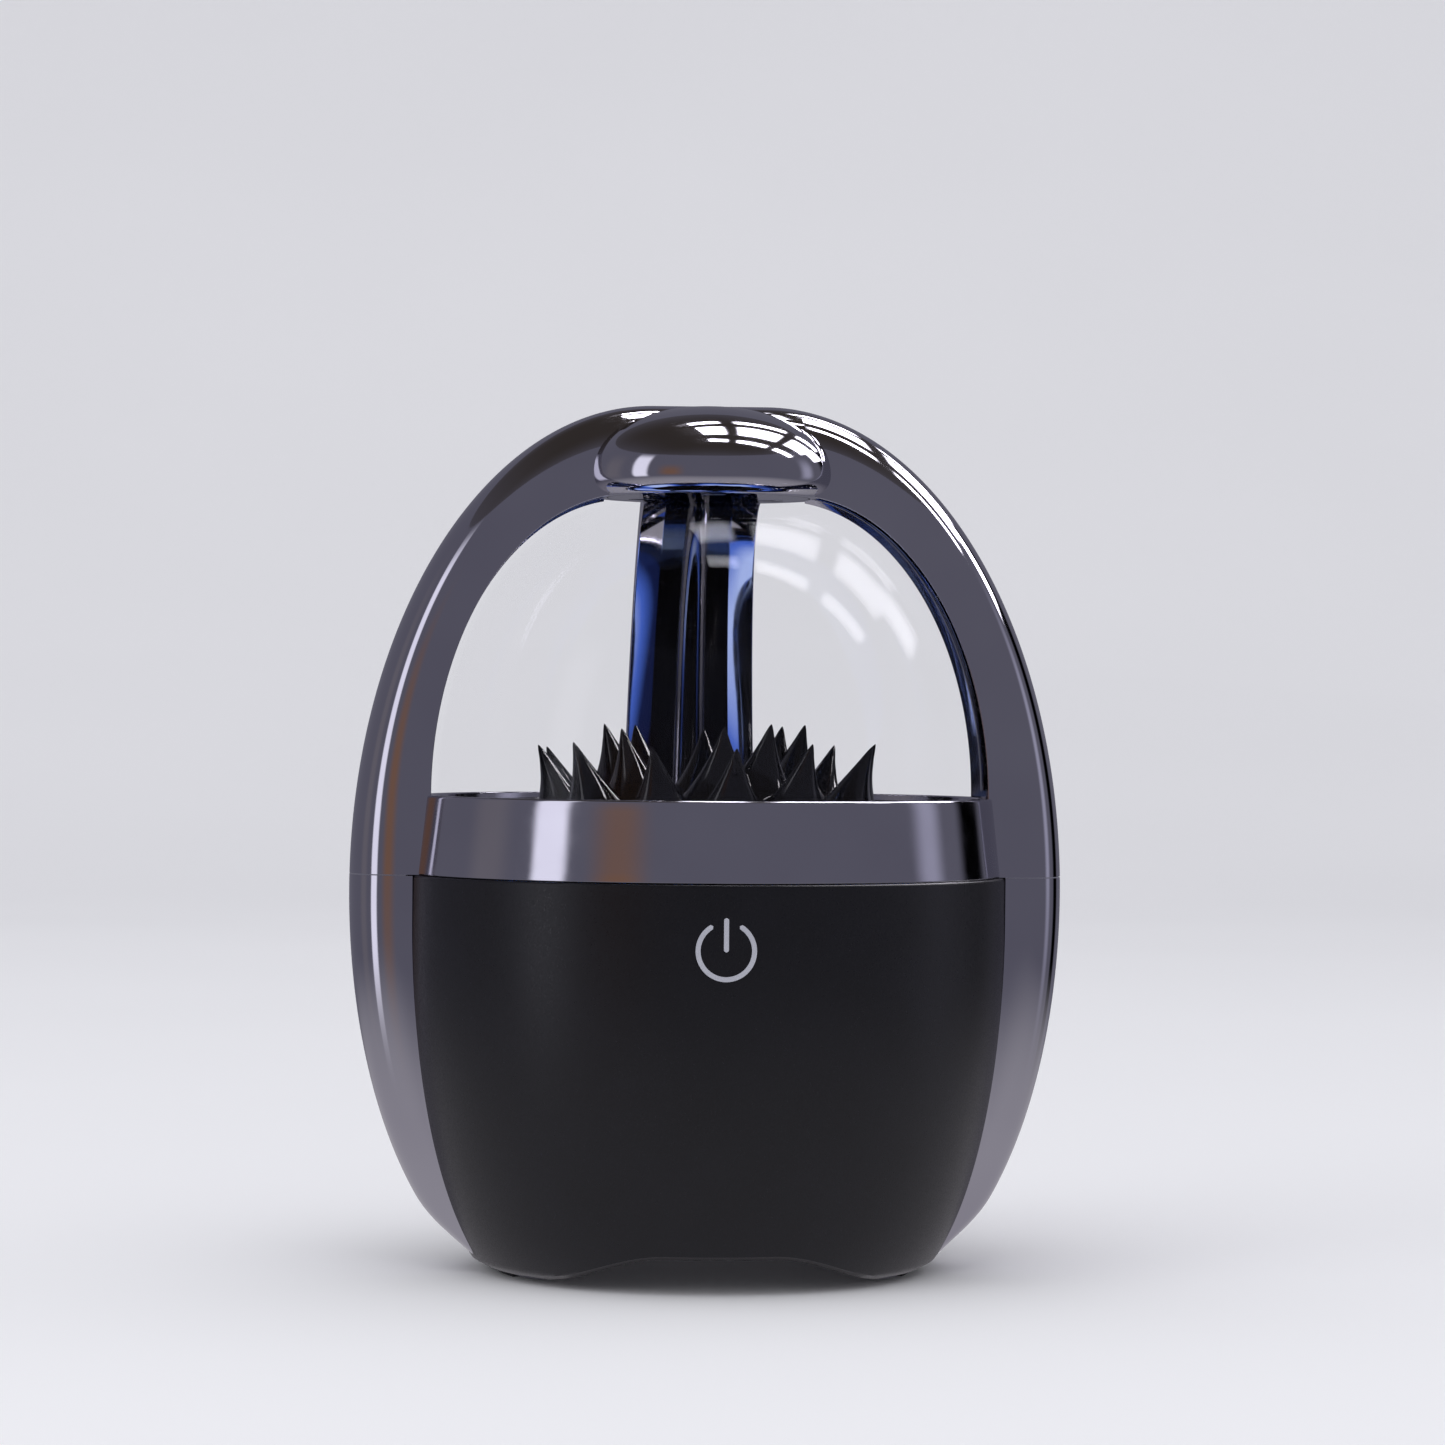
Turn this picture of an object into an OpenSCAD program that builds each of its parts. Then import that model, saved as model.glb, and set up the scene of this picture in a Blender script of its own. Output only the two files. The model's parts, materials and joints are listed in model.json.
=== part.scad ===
// Ferrofluid display speaker: a round base, a clear dome over the fluid, and a cage of three
// arms that meet in a domed hub. Millimetres. Z is the axis of the base, z = 0 is the floor
// and the front, with the touch key, faces -Y.

/* [Overall] */
// Height from the floor to the top of the hub
overall_h = 150.5; // [140:0.5:184]
// Greatest radius, at the crown of the arms
arm_reach = 62.2; // [58:0.1:76]
// Height of the shell's rim, where the lower arms end and the cage starts
seam_z = 68.7; // [66:0.1:84]
// Greatest radius of the base shell
shell_r = 52.6; // [50:0.1:56]

/* [Cage] */
// Width of an arm at the rim of the shell
arm_w = 24.8; // [20:0.1:30]
// Width of an arm where it enters the hub
arm_top_w = 20.5; // [16:0.1:24]
// Radius of the domed hub
hub_r = 23; // [20:0.1:28]
// Height of the hub over its flat underside
hub_h = 16; // [13:0.1:20]
// Depth of the channel along the inner face of an arm
channel_depth = 2.2; // [1:0.1:3]
// Width of each sloping facet beside the channel's floor
facet_w = 4.5; // [3:0.1:6]
// Wall left around the hollow of an arm
cage_wall = 2.6; // [2:0.1:3.5]
// Thickness of the inlay strip in the channel
inlay_t = 1.2; // [0.8:0.1:1.6]

/* [Base] */
// Wall of the base shell
shell_wall = 2.6; // [2:0.1:3.2]
// Height of the trim ring
ring_h = 13.7; // [12:0.1:17]
// Height of the arches under the front and the back
arch_h = 6.2; // [4:0.1:6.6]
// How far a foot pad stands below the shell
foot_proud = 0.4; // [0.2:0.1:1]
// Height of the bottom plate's underside
plate_z = 7; // [6.8:0.1:9]
// Thickness of the bottom plate
plate_t = 2.5; // [2:0.1:3.5]
// Thickness of the chassis plate
chassis_t = 2; // [1.5:0.1:3]
// Height of the chassis plate's underside
chassis_z = 37; // [36.5:0.5:42]

/* [Dome] */
// Radius of the clear dome at its foot
dome_r = 47.7; // [46:0.1:48.5]
// Wall of the clear dome
dome_wall = 2; // [1.5:0.1:3]
// Depth of the dome's skirt inside the trim ring
skirt_h = 6; // [4:0.1:7]

/* [Fluid] */
// Height of the tallest spikes over the dish floor
spike_h = 20.5; // [12:0.5:26]
// Radius of the ring of leaning spikes, at the floor
crown_base_r = 21; // [18:0.5:24]
// Number of spikes in the outer ring
outer_spikes = 12; // [6:1:16]
// Number of spikes in the inner ring
inner_spikes = 7; // [3:1:10]

/* [Driver] */
// Radius of the loudspeaker's flange
driver_r = 26; // [24:0.5:27]
// Radius of the voice coil's former, outside
former_r = 6.5; // [5.5:0.1:8]
// Travel of the cone each way
cone_travel = 1.5; // [0.5:0.1:1.5]

/* [Fasteners] */
// Clearance left between pieces that fit together
fit = 0.2; // [0.1:0.05:0.3]
// Radius of a screw's shank
screw_r = 1.2; // [1:0.1:1.5]
// Radius of a screw's head
head_r = 2.2; // [1.8:0.1:2.4]
// Height of a screw's head
head_h = 1.4; // [1:0.1:2]

/* [Hidden] */
$fn = 96;

// Sides of round pieces inside a meshed node
mesh_fn = 64;
// Directions of the three arms
arm_angles = [180, 0, 90];
over = 0.02;

// --- Heights that follow from the driving sizes ---
hub_z = overall_h - hub_h;
widest_z = seam_z - 2.7;
shell_mid_z = seam_z - 7.7;
ring_top_z = seam_z + ring_h;
dish_under_z = seam_z + 3.3;
dish_floor_z = dish_under_z + 2;
deck_flange_z = dish_under_z - 1.8;
flange_z = plate_z + plate_t;
chassis_top_z = chassis_z + chassis_t;

// --- Outlines, as radius against height ---
crown_r = 10;
arm_foot_r = 30;
shell_tuck = 20;
lower_arm_z = 3.2;
dome_flat_r = 14;
arm_seat_r = dome_r + 0.3;

function bulge(z, r0, r1, z0, b) = r0 + (r1 - r0) * sqrt(max(0, 1 - pow((z - z0) / b, 2)));
function shell_outer(z) =
    z >= shell_mid_z ? shell_r : bulge(z, shell_r - shell_tuck, shell_r, shell_mid_z, shell_mid_z + 3);
function arm_outer(z) =
    z >= widest_z ? bulge(z, crown_r, arm_reach, widest_z, overall_h - widest_z)
                  : bulge(z, arm_foot_r, arm_reach, widest_z, widest_z + 2.5);
function ring_outer(z) = shell_r - 0.9 - 1.5 * (z - seam_z) / ring_h;
function arm_half(z) =
    z > seam_z ? (arm_w + (arm_top_w - arm_w) * (z - seam_z) / (overall_h - seam_z)) / 2
               : (arm_w - 0.055 * (seam_z - z)) / 2;

// --- Arms: a D-shaped section carried along a path in the plane of the arm ---
d_power = 2.6;
side_flat = 1.7;
arc_steps = 7;
rise_steps = 15;

// A station is [inner point, outer point, half width]; points are [radius, height].
function cage_inner(t) =
    [dome_flat_r + (arm_seat_r - dome_flat_r) * cos(t), ring_top_z + (hub_z - ring_top_z) * sin(t)];
// The arms run past the axis, so that they cross inside the hub
arm_overrun = 3;
start_angle = asin((ring_top_z - widest_z) / (overall_h - widest_z));
function cage_outer(t) = let (a = start_angle + (90 - start_angle) * t / 90)
    [crown_r + (arm_reach - crown_r) * cos(a), widest_z + (overall_h - widest_z) * sin(a)];
cage_stations = concat(
    [for (z = [seam_z + 0.1, (seam_z + ring_top_z) / 2])
        [[arm_seat_r, z], [arm_outer(z), z], arm_half(z)]],
    [for (k = [0 : rise_steps]) let (t = 90 * k / rise_steps, a = cage_inner(t), b = cage_outer(t))
        [a, b, arm_half((a[1] + b[1]) / 2)]],
    [[[-arm_overrun, hub_z], [-arm_overrun, overall_h - 0.1], arm_top_w / 2]]);
lower_steps = 12;
function lower_stations(low_z) = [for (k = [0 : lower_steps])
    let (z = low_z + (seam_z - 0.1 - low_z) * k / lower_steps)
    [[shell_outer(z) - (shell_r - arm_seat_r), z], [arm_outer(z), z], arm_half(z)]];

function station_depth(s) = norm(s[1] - s[0]);
// Outline of the D: straight sides, then a full round crown, as [offset, depth] pairs
function d_outline(h, t) = concat(
    [[-h, 0], [h, 0]],
    [for (k = [0 : arc_steps]) let (a = 90 * k / arc_steps)
        [h * pow(cos(a), 2 / d_power), side_flat + (t - side_flat) * pow(sin(a), 2 / d_power)]],
    [for (k = [arc_steps - 1 : -1 : 0]) let (a = 90 * k / arc_steps)
        [-h * pow(cos(a), 2 / d_power), side_flat + (t - side_flat) * pow(sin(a), 2 / d_power)]]);
// Outline of the channel, its sloping facets, the pocket for the inlay and the hollow behind it
function channel_outline(h, t) = let (w = h - facet_w, floor = channel_depth + inlay_t)
    [[-h - over, -1], [h + over, -1], [h + over, -over], [w, channel_depth], [w, floor],
     [w - 1, floor], [h - cage_wall, t * 0.5], [h * 0.5, t - cage_wall],
     [-h * 0.5, t - cage_wall], [-h + cage_wall, t * 0.5], [-w + 1, floor],
     [-w, floor], [-w, channel_depth], [-h - over, -over]];

// Carries one outline per station; outlines run anticlockwise in [offset, depth]
module carry(stations, outlines) {
    n = len(outlines[0]);
    m = len(stations);
    points = [for (k = [0 : m - 1])
        let (a = stations[k][0], e = (stations[k][1] - a) / station_depth(stations[k]))
        for (p = outlines[k]) [a[0] + e[0] * p[1], p[0], a[1] + e[1] * p[1]]];
    sides = [for (k = [0 : m - 2]) for (i = [0 : n - 1])
        [k * n + i, k * n + (i + 1) % n, (k + 1) * n + (i + 1) % n, (k + 1) * n + i]];
    bottom = [for (i = [n - 1 : -1 : 0]) i];
    top = [for (i = [0 : n - 1]) (m - 1) * n + i];
    polyhedron(points, concat(sides, [bottom], [top]), convexity = 6);
}

// Keeps a built-up body as one closed mesh
module meshed() resize([0, 0, 0]) children();

module ring_cut() rotate_extrude($fn = mesh_fn * 2)
    polygon([[0, seam_z - 5], [shell_r + fit, seam_z - 5], [shell_r + fit, seam_z - over],
             [ring_outer(seam_z) + fit, seam_z], [ring_outer(ring_top_z) + fit, ring_top_z + fit],
             [0, ring_top_z + fit]]);

tongue_w = 12;
tongue_t = 3.6;
tongue_r = shell_r + 3.2;
tongue_drop = 11;
arm_screw_z = seam_z - 6.5;

module tongue(extra) translate([tongue_r - extra, -tongue_w / 2 - extra, seam_z - tongue_drop - extra])
    cube([tongue_t + 2 * extra, tongue_w + 2 * extra, tongue_drop + 6]);

module arm_body() difference() {
    union() {
        carry(cage_stations, [for (s = cage_stations) d_outline(s[2], station_depth(s))]);
        intersection() {
            tongue(0);
            translate([0, 0, seam_z - 20]) cylinder(h = 40, r = arm_reach - 1.5);
        }
    }
    upper = [for (k = [2 : len(cage_stations) - 2]) cage_stations[k]];
    carry(upper, [for (s = upper) channel_outline(s[2], station_depth(s))]);
    translate([0, 0, arm_screw_z]) rotate([0, 90, 0])
        cylinder(h = tongue_r + tongue_t + 1, r = screw_r + 0.1, $fn = 24);
}

hub_edge = 3.4;
module hub_body()
    rotate_extrude($fn = mesh_fn) polygon(concat(
        [[0, hub_z], [hub_r - hub_edge, hub_z]],
        [for (a = [-60 : 30 : 0]) [hub_r - hub_edge + hub_edge * cos(a), hub_z + hub_edge + hub_edge * sin(a)]],
        [for (a = [8 : 8 : 88])
            [hub_r * cos(a), hub_z + hub_edge + (hub_h - hub_edge) * sin(a)]],
        [[0, overall_h]]));

hub_plate_r = 17.6;
hub_plate_t = 1.8;
hub_screw_r = 13;
hub_post_r = 2.6;
hub_room_z = overall_h - 3.4;
hub_screw_angles = [30, 150, 270];

module cage() color([0.23, 0.22, 0.24]) meshed() {
    difference() {
        union() {
            for (a = arm_angles) rotate([0, 0, a]) arm_body();
            hub_body();
        }
        rotate_extrude($fn = mesh_fn) polygon([
            [0, hub_z - 1], [hub_plate_r + fit, hub_z - 1], [hub_plate_r + fit, hub_z + hub_plate_t],
            [hub_plate_r - 1.6, hub_z + hub_plate_t], [hub_plate_r - 2.4, hub_z + 7],
            [11, hub_room_z - 2], [6, hub_room_z], [0, hub_room_z]]);
        ring_cut();
    }
    for (a = hub_screw_angles) rotate([0, 0, a]) translate([hub_screw_r, 0, hub_z + hub_plate_t])
        difference() {
            cylinder(h = 9.5, r = hub_post_r, $fn = 24);
            translate([0, 0, -1]) cylinder(h = 8, r = screw_r + 0.05, $fn = 24);
        }
}

// Inlay strip with a half-round ridge that narrows towards the hub
ridge_low_w = 6.3;
ridge_top_w = 3.4;
ridge_h = 1.9;
module arm_inlay() color([0.03, 0.03, 0.04]) meshed() {
    s = [for (k = [3 : len(cage_stations) - 3])
        if (cage_stations[k][0][0] > hub_r + 1) cage_stations[k]];
    n = len(s) - 1;
    near = channel_depth + 0.05;
    far = channel_depth + inlay_t - 0.05;
    carry(s, [for (k = [0 : n])
        let (h = s[k][2] - facet_w - 0.1, w = (ridge_low_w + (ridge_top_w - ridge_low_w) * k / n) / 2)
        concat([[h, far], [-h, far], [-h, near]],
               [for (a = [180 : -30 : 0]) [w * cos(a), near - ridge_h * sin(a)]],
               [[h, near]])]);
}
module arm_inlay_left() rotate([0, 0, arm_angles[0]]) arm_inlay();
module arm_inlay_right() rotate([0, 0, arm_angles[1]]) arm_inlay();
module arm_inlay_back() rotate([0, 0, arm_angles[2]]) arm_inlay();

// --- Screws: a pan head with a cross recess over a plain shank, head up ---
module screw(length) {
    difference() {
        cylinder(h = head_h, r = head_r, $fn = 32);
        for (a = [0, 90]) rotate([0, 0, a])
            translate([-head_r * 0.6, -0.25, head_h * 0.4]) cube([head_r * 1.2, 0.5, head_h]);
    }
    translate([0, 0, -length]) cylinder(h = length + over, r = screw_r, $fn = 32);
}

// --- Hub plate, under the hub ---
module hub_plate() color([0.05, 0.05, 0.06]) difference() {
    translate([0, 0, hub_z]) cylinder(h = hub_plate_t - 0.1, r = hub_plate_r);
    for (a = hub_screw_angles) rotate([0, 0, a]) translate([hub_screw_r, 0, hub_z]) {
        translate([0, 0, -1]) cylinder(h = hub_plate_t + 2, r = screw_r + fit);
        translate([0, 0, -1]) cylinder(h = 1.9, r1 = head_r + fit, r2 = head_r + fit);
    }
}
module hub_screws() color([0.35, 0.35, 0.36])
    for (a = hub_screw_angles) rotate([0, 0, a]) translate([hub_screw_r, 0, hub_z + 0.85])
        mirror([0, 0, 1]) intersection() {
            screw(6);
            translate([0, 0, -10]) cylinder(h = 10.8, r = 5);
        }

// --- Lower arms, clipped over the shell ---
port_z = 22;
port_w = 8.94;
port_h = 3.26;
module stadium(w, h) hull() for (s = [-1, 1]) translate([s * (w - h) / 2, 0]) circle(d = h, $fn = 32);

module shell_solid(extra) rotate_extrude($fn = mesh_fn * 2)
    polygon(concat([[0, -1], [shell_outer(0) + extra, -1]],
        [for (k = [0 : 16]) let (z = seam_z * k / 16) [shell_outer(z) + extra, z]],
        [[shell_r + extra, seam_z + 1], [0, seam_z + 1]]));

module lower_arm(low_z, port) color([0.23, 0.22, 0.24]) meshed() difference() {
    s = lower_stations(low_z);
    carry(s, [for (p = s) d_outline(p[2], station_depth(p))]);
    shell_solid(0.1);
    tongue(fit);
    translate([0, 0, arm_screw_z]) rotate([0, 90, 0])
        cylinder(h = tongue_r + tongue_t + 1, r = screw_r + fit, $fn = 24);
    if (port) translate([arm_reach, 0, port_z]) rotate([90, 0, -90])
        linear_extrude(30) stadium(port_w + 0.6, port_h + 0.6);
}
module lower_arm_left() rotate([0, 0, arm_angles[0]]) lower_arm(lower_arm_z, false);
module lower_arm_right() rotate([0, 0, arm_angles[1]]) lower_arm(lower_arm_z, false);
module lower_arm_back() rotate([0, 0, arm_angles[2]]) lower_arm(arch_h + 0.8, true);

// One radial screw per arm, driven from inside the shell
// A flat head on the shell's curved inside stands off by this much
head_gap = 0.12;
module arm_screws() color([0.35, 0.35, 0.36])
    for (a = arm_angles) rotate([0, 0, a])
        translate([shell_r - shell_wall - head_gap, 0, arm_screw_z]) rotate([0, -90, 0]) screw(8.5);

// --- Base shell ---
foot_r = 36.5;
foot_in_r = 34.5;
flange_in_r = 28.8;
flange_t = 2.5;
base_screw_r = 31.6;
base_screw_angles = [45, 135, 225, 315];
chassis_post_r = 38.5;
chassis_angles = [22.5, 112.5, 202.5, 292.5];
arch_flat = 9;
arch_run = 24;

module arch_cut() rotate([90, 0, 0]) linear_extrude(4 * shell_r, center = true)
    polygon(concat([[-arch_flat - arch_run, -1]],
        [for (k = [-12 : 12]) let (u = abs(k) / 12, x = arch_flat + arch_run * u)
            if (k != 0) [sign(k) * (arch_flat + arch_run * (1 - (12 - abs(k)) / 12)),
                         arch_h * (1 + cos(180 * u)) / 2]],
        [[arch_flat + arch_run, -1]]));

icon_z = seam_z - 10.8;
icon_r = 5.05;
icon_line = 0.82;
icon_gap = 32;
icon_depth = 0.8;
module icon_prism(grow) {
    line = icon_line + 2 * grow;
    mid = icon_r - icon_line / 2;
    low = 0.35;
    depth = 3;
    cap = line + 0.04;
    translate([0, -shell_r + icon_depth, icon_z]) rotate([90, 0, 0]) {
        difference() {
            cylinder(h = depth, r = mid + line / 2);
            translate([0, 0, -1]) cylinder(h = depth + 2, r = mid - line / 2);
            translate([0, 0, -1]) linear_extrude(depth + 2) polygon([[0, 0],
                [2 * icon_r * tan(icon_gap), 2 * icon_r], [-2 * icon_r * tan(icon_gap), 2 * icon_r]]);
        }
        for (s = [-1, 1]) rotate([0, 0, s * icon_gap]) translate([0, mid, 0])
            cylinder(h = depth, d = cap, $fn = 32);
        translate([-line / 2, low, 0]) cube([line, icon_r - low, depth]);
        for (y = [low, icon_r]) translate([0, y, 0]) cylinder(h = depth, d = cap, $fn = 32);
    }
}

module base_shell() color([0.09, 0.09, 0.11]) difference() {
    union() {
        rotate_extrude() polygon(concat(
            [[foot_r, foot_proud], [foot_r + 2.2, foot_proud + 0.6], [foot_r + 4, foot_proud + 1.9]],
            [for (k = [0 : 14]) let (z = 4 + (shell_mid_z - 4) * k / 14) [shell_outer(z), z]],
            [[shell_r, seam_z - 0.3], [shell_r - 0.3, seam_z], [shell_r - shell_wall, seam_z]],
            [for (k = [14 : -1 : 0])
                let (z = flange_z + flange_t + (shell_mid_z - flange_z - flange_t) * k / 14)
                [shell_outer(z) - shell_wall, z]],
            [[flange_in_r, flange_z + flange_t], [flange_in_r, flange_z], [foot_in_r, flange_z],
             [foot_in_r, foot_proud]]));
        for (a = chassis_angles) rotate([0, 0, a]) translate([chassis_post_r, 0, flange_z + flange_t - 1])
            cylinder(h = chassis_z - flange_z - flange_t + 1, r = 3.2);
    }
    arch_cut();
    icon_prism(0.05);
    for (a = chassis_angles) rotate([0, 0, a]) translate([chassis_post_r, 0, chassis_z - 10])
        cylinder(h = 11, r = screw_r);
    for (a = base_screw_angles) rotate([0, 0, a]) translate([base_screw_r, 0, flange_z - 1])
        cylinder(h = flange_t + 2, r = screw_r);
    for (a = arm_angles) rotate([0, 0, a]) translate([shell_r - 10, 0, arm_screw_z]) rotate([0, 90, 0])
        cylinder(h = 12, r = screw_r + fit);
    for (a = [0, 180]) rotate([0, 0, a]) foot_pad_solid(0.05);
    translate([0, shell_r, port_z]) rotate([90, 0, 0])
        linear_extrude(20) stadium(port_w + 0.6, port_h + 0.6);
}
module power_icon() color([0.66, 0.67, 0.7]) difference() {
    icon_prism(0);
    translate([0, 0, icon_z - 10]) difference() {
        cylinder(h = 20, r = shell_r + 8);
        translate([0, 0, -1]) cylinder(h = 22, r = shell_r);
    }
}

// --- Foot pads, let into the foot under the side arms ---
pad_t = 1;
pad_span = 22;
pad_w = 1.4;
module foot_pad_solid(extra) translate([0, 0, extra > 0 ? foot_proud - over : 0]) intersection() {
    rotate_extrude() translate([(foot_r + foot_in_r) / 2 - pad_w / 2 - extra, 0])
        square([pad_w + 2 * extra, extra > 0 ? pad_t - foot_proud + extra : pad_t]);
    linear_extrude(3) polygon([[0, 0],
        [60, 60 * tan(pad_span) + extra], [60, -60 * tan(pad_span) - extra]]);
}
module foot_pad_left() color([0.05, 0.05, 0.05]) rotate([0, 0, 180]) foot_pad_solid(0);
module foot_pad_right() color([0.05, 0.05, 0.05]) foot_pad_solid(0);

// --- Bottom plate with the grille ---
spacer_h = 2.5;
grille_pitch = 4.4;
grille_hole_r = 1.25;
driver_screw_r = driver_r - 2;
driver_z = flange_z + spacer_h;
module bottom_plate() color([0.1, 0.1, 0.11]) difference() {
    union() {
        translate([0, 0, plate_z]) cylinder(h = plate_t - 0.05, r = foot_in_r - fit);
        translate([0, 0, flange_z - 0.1]) difference() {
            cylinder(h = spacer_h + 0.05, r = flange_in_r - 0.6);
            translate([0, 0, -1]) cylinder(h = spacer_h + 3, r = driver_r - 4.1);
        }
    }
    translate([0, 0, plate_z - 1]) cylinder(h = plate_t + 2, r = grille_hole_r);
    for (ring = [1 : 4]) for (k = [0 : 6 * ring - 1]) rotate([0, 0, 360 * k / (6 * ring)])
        translate([ring * grille_pitch, 0, plate_z - 1]) cylinder(h = plate_t + 2, r = grille_hole_r, $fn = 24);
    for (a = base_screw_angles) rotate([0, 0, a]) translate([base_screw_r, 0, plate_z - 1]) {
        cylinder(h = plate_t + 2, r = screw_r + fit);
        cylinder(h = 1 + head_h, r = head_r + fit);
    }
    for (a = base_screw_angles) rotate([0, 0, a]) translate([driver_screw_r, 0, flange_z])
        cylinder(h = spacer_h + 2, r = screw_r);
}
module base_screws() color([0.35, 0.35, 0.36])
    for (a = base_screw_angles) rotate([0, 0, a])
        translate([base_screw_r, 0, plate_z + head_h]) mirror([0, 0, 1]) screw(plate_t - head_h + flange_t);

// --- Trim ring, dish, dome ---
module trim_ring() color([0.3, 0.3, 0.33]) rotate_extrude($fn = 180) polygon([
    [ring_outer(seam_z) - 1.6, seam_z + 0.05], [ring_outer(seam_z), seam_z + 0.05],
    [ring_outer(ring_top_z), ring_top_z - 0.5], [ring_outer(ring_top_z) - 0.5, ring_top_z],
    [dome_r + 0.3, ring_top_z], [dome_r + 0.3, dish_under_z + 0.2],
    [ring_outer(seam_z) - 1.6, dish_under_z + 0.2]]);

ledge_z = ring_top_z - skirt_h - 1.4;
dish_wall_r = dome_r - dome_wall - fit;
guide_r = 34;
guide_w = 3.8;
module fluid_dish() color([0.05, 0.05, 0.06]) difference() {
    union() {
        rotate_extrude() polygon([
            [0, dish_under_z], [ring_outer(seam_z) - 2.2, dish_under_z - 1.8],
            [ring_outer(seam_z) - 1.8, dish_under_z - 1.8], [ring_outer(seam_z) - 1.8, dish_under_z + 0.1],
            [dome_r + 0.1, dish_under_z + 0.1], [dome_r + 0.1, ledge_z],
            [dish_wall_r, ledge_z], [dish_wall_r, ring_top_z - 1.6], [dish_wall_r - 1, ring_top_z - 1],
            [dish_wall_r - 1.8, ring_top_z - 1.6], [dish_wall_r - 1.8, dish_floor_z + 1.2],
            [dish_wall_r - 3, dish_floor_z], [0, dish_floor_z]]);
        for (a = [45 : 90 : 315]) rotate([0, 0, a]) translate([29, 0, dish_under_z - 4.4])
            cylinder(h = 4.5, r = 1.8);
    }
    translate([0, 0, dish_under_z - 6]) rotate_extrude() polygon([
        [0, 0], [guide_r - 6, 0], [guide_r - 6, 1], [0, 1]]);
    difference() {
        rotate_extrude() translate([guide_r, dish_under_z - 3]) square([guide_w, 8]);
        slot_bridges(0);
    }
    for (a = deck_angles) rotate([0, 0, a]) translate([deck_post_r, 0, dish_under_z - 3])
        cylinder(h = 8, r = screw_r + fit);
    for (a = deck_angles) rotate([0, 0, a]) translate([deck_post_r, 0, dish_floor_z - head_h])
        cylinder(h = 6, r = head_r + fit);
}
// Four thin bridges across the slot keep the dish in one piece, and the guide passes under them
module slot_bridges(extra) for (a = [22.5 : 90 : 292.5]) rotate([0, 0, a])
    translate([guide_r - 1, -0.8 - extra, dish_floor_z - 0.8 - extra]) cube([guide_w + 2, 1.6 + 2 * extra, 3]);
module light_guide() color([0.85, 0.9, 1, 0.6]) difference() {
    rotate_extrude() translate([guide_r + 0.1, dish_under_z - 1.2]) square([guide_w - 0.2, 3.2]);
    slot_bridges(0.05);
}

deck_post_r = 40.6;
deck_angles = [0, 90, 180, 270];
module deck_screws() color([0.35, 0.35, 0.36])
    for (a = deck_angles) rotate([0, 0, a])
        translate([deck_post_r, 0, dish_floor_z - head_h + 0.02]) screw(9);

function dome_outer(t) =
    [dome_flat_r - 0.3 + (dome_r - dome_flat_r + 0.3) * cos(t), ring_top_z + (hub_z - 0.3 - ring_top_z) * sin(t)];
module glass_dome() color([0.85, 0.9, 0.95, 0.25]) rotate_extrude($fn = 180) polygon(concat(
    [[dome_r - dome_wall, ring_top_z - skirt_h], [dome_r, ring_top_z - skirt_h]],
    [for (k = [0 : 24]) dome_outer(90 * k / 24)],
    [[0, hub_z - 0.3], [0, hub_z - 0.3 - dome_wall]],
    [for (k = [24 : -1 : 0]) let (t = 90 * k / 24)
        dome_outer(t) - dome_wall * [cos(t), sin(t)]]));
module dome_gasket() color([0.08, 0.08, 0.08]) rotate_extrude()
    translate([dome_r - dome_wall / 2, ledge_z + 0.7]) circle(r = 0.68, $fn = 24);

// --- Fluid: a low mound that rises into a crown of leaning spikes ---
fluid_r = 30.5;
module spike(h, w) rotate_extrude($fn = 20) polygon([
    [0, -2], [w, -2], [w, 0], [w * 0.62, h * 0.22], [w * 0.4, h * 0.5], [w * 0.2, h * 0.8],
    [0.25, h], [0, h]]);
function outer_lean(k) = 24 + 6 * sin(137 * k);
function outer_height(k) = spike_h * (0.92 + 0.1 * sin(97 * k));
module ferrofluid() color([0.02, 0.02, 0.03]) meshed() intersection() {
    union() {
        translate([0, 0, dish_floor_z + 0.05]) rotate_extrude($fn = mesh_fn)
            polygon([[0, 0], [fluid_r, 0], [fluid_r - 0.6, 1.2], [fluid_r - 4, 3.2], [14, 5], [0, 5.5]]);
        for (k = [0 : outer_spikes - 1]) rotate([0, 0, 360 * (k + 0.5) / outer_spikes - 90])
            translate([crown_base_r, 0, dish_floor_z + 1]) rotate([0, outer_lean(k), 0])
                spike(outer_height(k), 5.6);
        for (k = [0 : inner_spikes - 1]) rotate([0, 0, 360 * k / inner_spikes - 90])
            translate([crown_base_r * 0.52, 0, dish_floor_z + 2]) rotate([0, 8, 0])
                spike(spike_h - 2, 5.4);
    }
    translate([0, 0, dish_floor_z + 0.05]) cylinder(h = 60, r = guide_r - 0.4);
}

// --- Electromagnet under the dish ---
yoke_z = dish_under_z - 18;
yoke_r = 17;
module magnet_yoke() color([0.5, 0.5, 0.52]) translate([0, 0, yoke_z]) difference() {
    cylinder(h = 17, r = yoke_r);
    translate([0, 0, 2.5]) cylinder(h = 20, r = yoke_r - 1.8);
}
module magnet_core() color([0.6, 0.6, 0.62]) translate([0, 0, yoke_z + 2.5]) cylinder(h = 15, r = 5);
module coil_bobbin() color([0.85, 0.83, 0.75]) translate([0, 0, yoke_z + 2.7]) difference() {
    union() {
        cylinder(h = 14, r = 6.2);
        cylinder(h = 1.2, r = yoke_r - 2.1);
        translate([0, 0, 12.8]) cylinder(h = 1.2, r = yoke_r - 2.1);
    }
    translate([0, 0, -1]) cylinder(h = 20, r = 5.2);
}
module magnet_coil() color([0.72, 0.4, 0.2]) translate([0, 0, yoke_z + 4]) difference() {
    cylinder(h = 11.4, r = yoke_r - 2.8);
    translate([0, 0, -1]) cylinder(h = 20, r = 6.3);
}

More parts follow.
